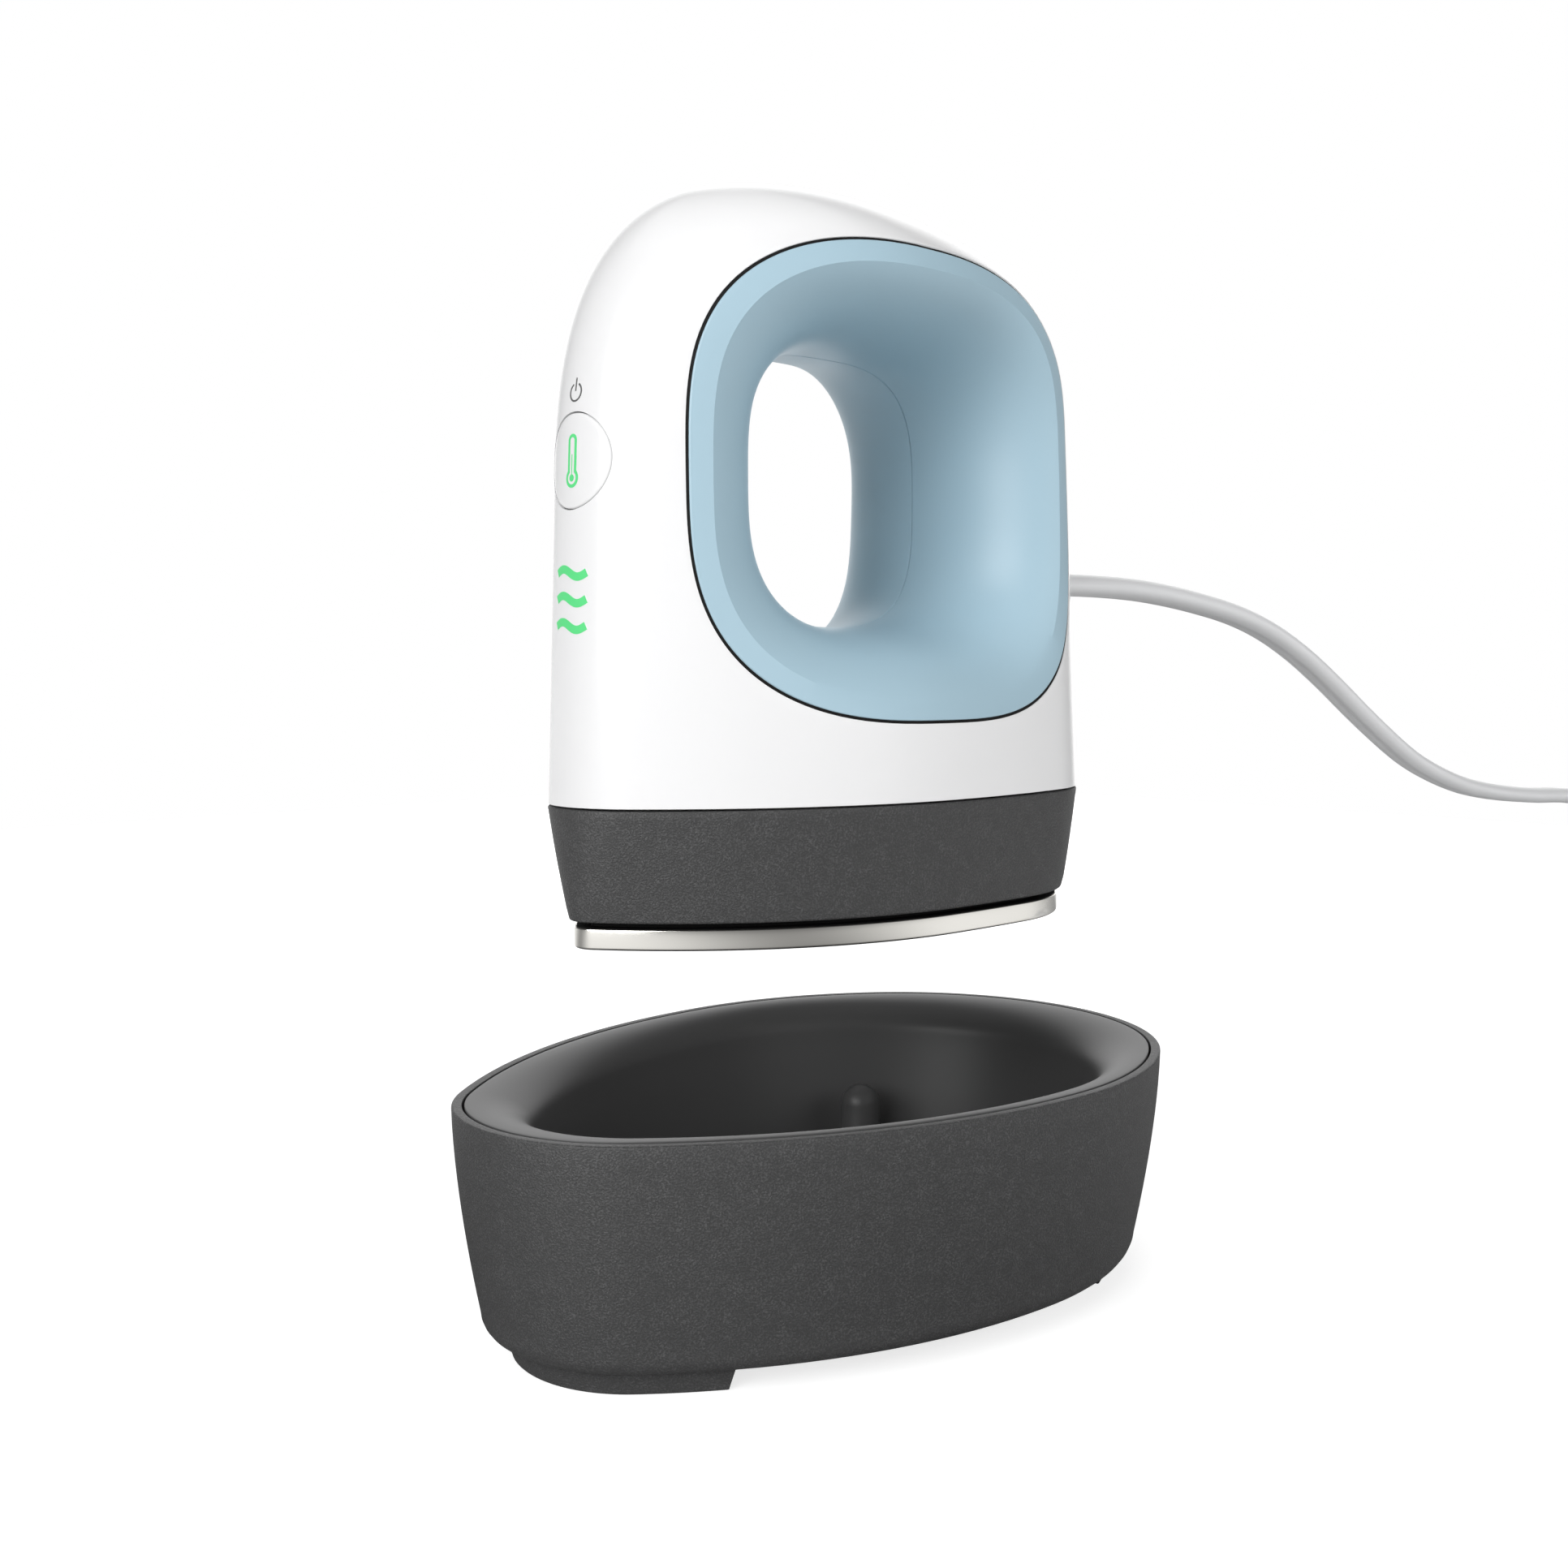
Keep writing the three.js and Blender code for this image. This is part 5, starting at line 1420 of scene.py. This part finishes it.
    def plug(self) -> bpy.types.Object:
        """The plug's body with its tapered sleeve."""
        wide, tall, long = self.plug_width, self.plug_thickness, self.plug_length
        sections = (
            (0, self.width + 1.4, self.thickness + 1.9, 2.2), (0.4, self.width + 2, self.thickness + 2.5, 2.2),
            (12, self.width + 5, self.thickness + 6, 2.4), (13.6, self.width + 7, self.thickness + 7.4, 2.6),
            (15, wide * 0.72, tall * 0.82, 3), (17, wide * 0.87, tall * 0.92, 3.3),
            (19, wide * 0.95, tall * 0.97, 3.6), (24, wide, tall, 4), (long - 1, wide, tall, 4),
            (long - 0.3, wide - 0.5, tall - 0.5, 4), (long, wide - 1.6, tall - 1.6, 4),
        )
        made = loft("plug_moulding", [self.plug_ring(self.plug_back - along, *size) for along, *size in sections])
        shade(made, 40)
        return dress(made, CORD_SHEATH, Slot.CORD, Body.PRESS, "plug_body")

    def build(self) -> None:
        """Builds the sleeve, the plug and the cord."""
        self.bush()
        blades = [frame["nodes"][f"plug_blade_{i}"] for i in (1, 2)]
        for blade in blades:
            coat_with(blade, BRIGHT_BRASS)
        self.cord([self.plug(), *blades])


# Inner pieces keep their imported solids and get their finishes


INNER_FINISHES: dict[Finish, tuple[str, ...]] = {
    PLAIN_STEEL: (
        "heating_element", "element_clamp", "heat_shield", "cord_clip", "plate_screw", "shell_screw", "stand_screw",
    ),
    MICA_SHEET: ("insulation_pad", "thermal_fuse"),
    FRAME_PLASTIC: ("inner_frame",),
    BOARD_GREEN: ("power_board", "control_board"),
    DARK_MOULDING: ("relay", "terminal_block", "button_switch", "heater_lead"),
    CLEAR_GUIDE: ("thermistor", "light_guide"),
    LAMP_GREEN: ("led",),
    CORD_SHEATH: ("supply_lead",),
}


def dress_inner_pieces() -> None:
    """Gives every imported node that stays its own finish."""
    for finish, starts in INNER_FINISHES.items():
        for name, node in frame["nodes"].items():
            if name.startswith(starts):
                coat_with(node, finish)
                LOG.info("%s keeps its solid", name)


# Studio


@dataclass
class Studio:
    """The camera of the photograph, a pale floor and soft light."""

    camera_at: Point = (-172.06, -176.8, 36.06)
    heading: float = 43.2725
    pitch: float = 3.932
    lens: float = 39.80
    floor_size: float = 1.6
    ambient: float = 0.22
    wall_top: float = 0.15
    wall_height: float = 0.2
    back_wall: float = 1.5
    back_way: Point = (0.69, 0.69, 0.22)
    back_edge: tuple[float, float] = (0.72, 0.94)
    paper: float = 0.58
    shadow_lift: float = 0.72
    shadow_reach: tuple[float, float] = (0.2, 0.5)
    # Painted shade on the floor in reflections: its level near the object and the reach over which it lifts.
    reflected_shade_level: float = 0.08
    reflected_shade_reach: tuple[float, float] = (0.1, 0.24)
    cards: int = 3
    first_card: float = 0.05
    card_level: float = 0.9
    gap_level: float = 0.3

    def camera(self) -> None:
        """The camera, where the photograph was taken from."""
        data = bpy.data.cameras.new("camera")
        data.lens = self.lens
        data.sensor_width = 36.0
        data.clip_start = 0.01
        data.clip_end = 50.0
        made = add_object("camera", data)
        made.location = placed(self.camera_at)
        made.rotation_euler = Euler((math.radians(90 - self.pitch), 0.0, math.radians(-self.heading)))
        bpy.context.scene.camera = made

    def lamp(self, name: str, place: Point, aim: Point, size: tuple[float, float], power: float,
             mirrored: bool = True) -> None:
        """A soft rectangular lamp.

        Args:
            name: The lamp's name.
            place: Where it stands, in metres.
            aim: The point that it looks at.
            size: Its width and height.
            power: Its power in watts.
            mirrored: Whether glossy surfaces show it.
        """
        data = bpy.data.lights.new(name, "AREA")
        data.shape = "RECTANGLE"
        data.size, data.size_y = size
        data.energy = power
        made = add_object(name, data)
        made.location = place
        made.visible_glossy = mirrored
        made.rotation_euler = (Vector(aim) - Vector(place)).to_track_quat("-Z", "Y").to_euler()

    def wall_group(self) -> bpy.types.NodeTree:
        """The studio's walls: white cards evenly spaced around the object, with soft grey gaps."""
        name = "studio_walls"
        if name in bpy.data.node_groups:
            return bpy.data.node_groups[name]
        group, given, result = start_group(name, {"Way": "Vector"}, {"Color": "Color"})
        way = given.outputs["Way"]
        radial = add_node(group, "ShaderNodeTexGradient", {"Vector": way}, gradient_type="RADIAL")
        turns = 2 * math.pi * self.cards
        wave = combine(group, "COSINE", combine(
            group, "MULTIPLY_ADD", radial.outputs["Fac"], turns, -turns * self.first_card))
        cards = map_range(group, wave, (-1.0, 1.0), (self.gap_level, self.card_level))
        unit = add_node(group, "ShaderNodeVectorMath", {0: way}, operation="NORMALIZE").outputs["Vector"]
        axes = add_node(group, "ShaderNodeSeparateXYZ", {"Vector": unit})
        fall = map_range(group, axes.outputs["Z"], (0.0, self.wall_height), (1.0, self.wall_top))
        toward = add_node(group, "ShaderNodeVectorMath", {0: unit, 1: self.back_way}, operation="DOT_PRODUCT")
        glow = map_range(group, toward.outputs["Value"], self.back_edge, (0.0, self.back_wall), smooth=True)
        level = combine(group, "MAXIMUM", combine(group, "MULTIPLY", cards, fall), glow)
        feed(group, result, {"Color": level})
        return group

    def in_reflections(self, tree: bpy.types.NodeTree, place: bpy.types.NodeSocket,
                       direct: bpy.types.NodeSocket, strength: bpy.types.NodeSocket | None = None,
                       ) -> bpy.types.NodeSocket:
        """Shows the walls to reflected and refracted rays, and a direct shader to all others.

        Args:
            tree: The material's or world's node tree.
            place: The direction or place that the walls are looked up by.
            direct: The shader for every other ray.
            strength: What dims the walls, if anything does.

        Returns:
            The mixed shader's output.
        """
        walls = add_node(tree, "ShaderNodeGroup", {"Way": place}, node_tree=self.wall_group())
        shine = add_node(tree, "ShaderNodeEmission", {"Color": walls.outputs["Color"]})
        if strength is not None:
            feed(tree, shine, {"Strength": strength})
        rays = add_node(tree, "ShaderNodeLightPath")
        either = combine(tree, "MAXIMUM", rays.outputs["Is Glossy Ray"], rays.outputs["Is Transmission Ray"])
        mixed = add_node(tree, "ShaderNodeMixShader", {"Fac": either, 1: direct, 2: shine.outputs["Emission"]})
        return mixed.outputs["Shader"]

    def world(self) -> None:
        """White for the camera, the walls in reflections, and a plain level of light."""
        world = bpy.data.worlds.new("studio")
        world.use_nodes = True
        tree = world.node_tree
        light = tree.nodes["Background"]
        feed(tree, light, {"Color": WHITE, "Strength": self.ambient})
        way = add_node(tree, "ShaderNodeTexCoord")
        reflected = self.in_reflections(tree, way.outputs["Generated"], light.outputs["Background"])
        white = add_node(tree, "ShaderNodeBackground", {"Color": WHITE})
        rays = add_node(tree, "ShaderNodeLightPath")
        seen = add_node(tree, "ShaderNodeMixShader", {
            "Fac": rays.outputs["Is Camera Ray"], 1: reflected, 2: white.outputs["Background"],
        })
        feed(tree, tree.nodes["World Output"], {"Surface": seen.outputs["Shader"]})
        bpy.context.scene.world = world

    def floor_material(self) -> bpy.types.Material:
        """Pale paper that fades to the white background away from the object, and shows the walls in reflections with
        painted shade near the object.
        """
        material = bpy.data.materials.new("floor_paper")
        material.use_nodes = True
        tree = material.node_tree
        shader = tree.nodes["Principled BSDF"]
        feed(tree, shader, {
            "Base Color": (self.paper, self.paper, self.paper, 1.0), "Roughness": 0.9, "Specular IOR Level": 0.1,
        })
        place = add_node(tree, "ShaderNodeTexCoord").outputs["Object"]
        reach = add_node(tree, "ShaderNodeVectorMath", {0: place}, operation="LENGTH").outputs["Value"]
        fade = map_range(tree, reach, self.shadow_reach, (self.shadow_lift, 1.0))
        rays = add_node(tree, "ShaderNodeLightPath")
        lift = combine(tree, "MULTIPLY", rays.outputs["Is Camera Ray"], fade)
        glow = add_node(tree, "ShaderNodeEmission", {"Strength": lift})
        both = add_node(tree, "ShaderNodeAddShader", {0: shader.outputs["BSDF"], 1: glow.outputs["Emission"]})
        # Painted shade: the walls that the floor shows in reflections are dimmed near the object.
        under = map_range(tree, reach, self.reflected_shade_reach, (self.reflected_shade_level, 1.0))
        shown = self.in_reflections(tree, place, both.outputs["Shader"], under)
        feed(tree, tree.nodes["Material Output"], {"Surface": shown})
        return material

    def floor(self) -> None:
        """A pale floor that shows white to the camera and keeps the soft shadow."""
        half = self.floor_size / 2
        mesh = bpy.data.meshes.new("floor")
        z = placed((0, 0, TABLE)).z
        mesh.from_pydata([(-half, -half, z), (half, -half, z), (half, half, z), (-half, half, z)], [], [(0, 1, 2, 3)])
        mesh.materials.append(self.floor_material())
        add_object("floor", mesh)

    def build(self) -> None:
        """Sets up the whole studio."""
        self.world()
        self.floor()
        middle = (0.0, 0.0, -0.04)
        self.lamp("key", (-0.85, -0.2, 0.34), middle, (0.7, 0.6), 7.8)
        self.lamp("fill", (0.12, -0.92, 0.22), middle, (0.6, 0.6), 4.3, mirrored=False)
        self.lamp("top", (0.0, 0.1, 0.8), middle, (0.8, 0.8), 0.6)
        self.lamp("back", (0.55, 0.75, 0.36), middle, (0.9, 0.5), 4.4, mirrored=False)
        view = bpy.context.scene.view_settings
        view.view_transform = "Standard"


def main() -> None:
    """Builds the studio and every piece."""
    logging.basicConfig(level=logging.INFO, format="%(name)s: %(message)s")
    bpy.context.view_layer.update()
    studio = Studio()
    studio.camera()
    MainsLead().build()
    Housing().build()
    GripInsert(-1, "grip_insert_near_lining").build()
    GripInsert(1, "grip_insert_far_lining").build()
    HotEnd().build()
    Stand().build()
    dress_inner_pieces()
    studio.build()


if __name__ == "__main__":
    main()
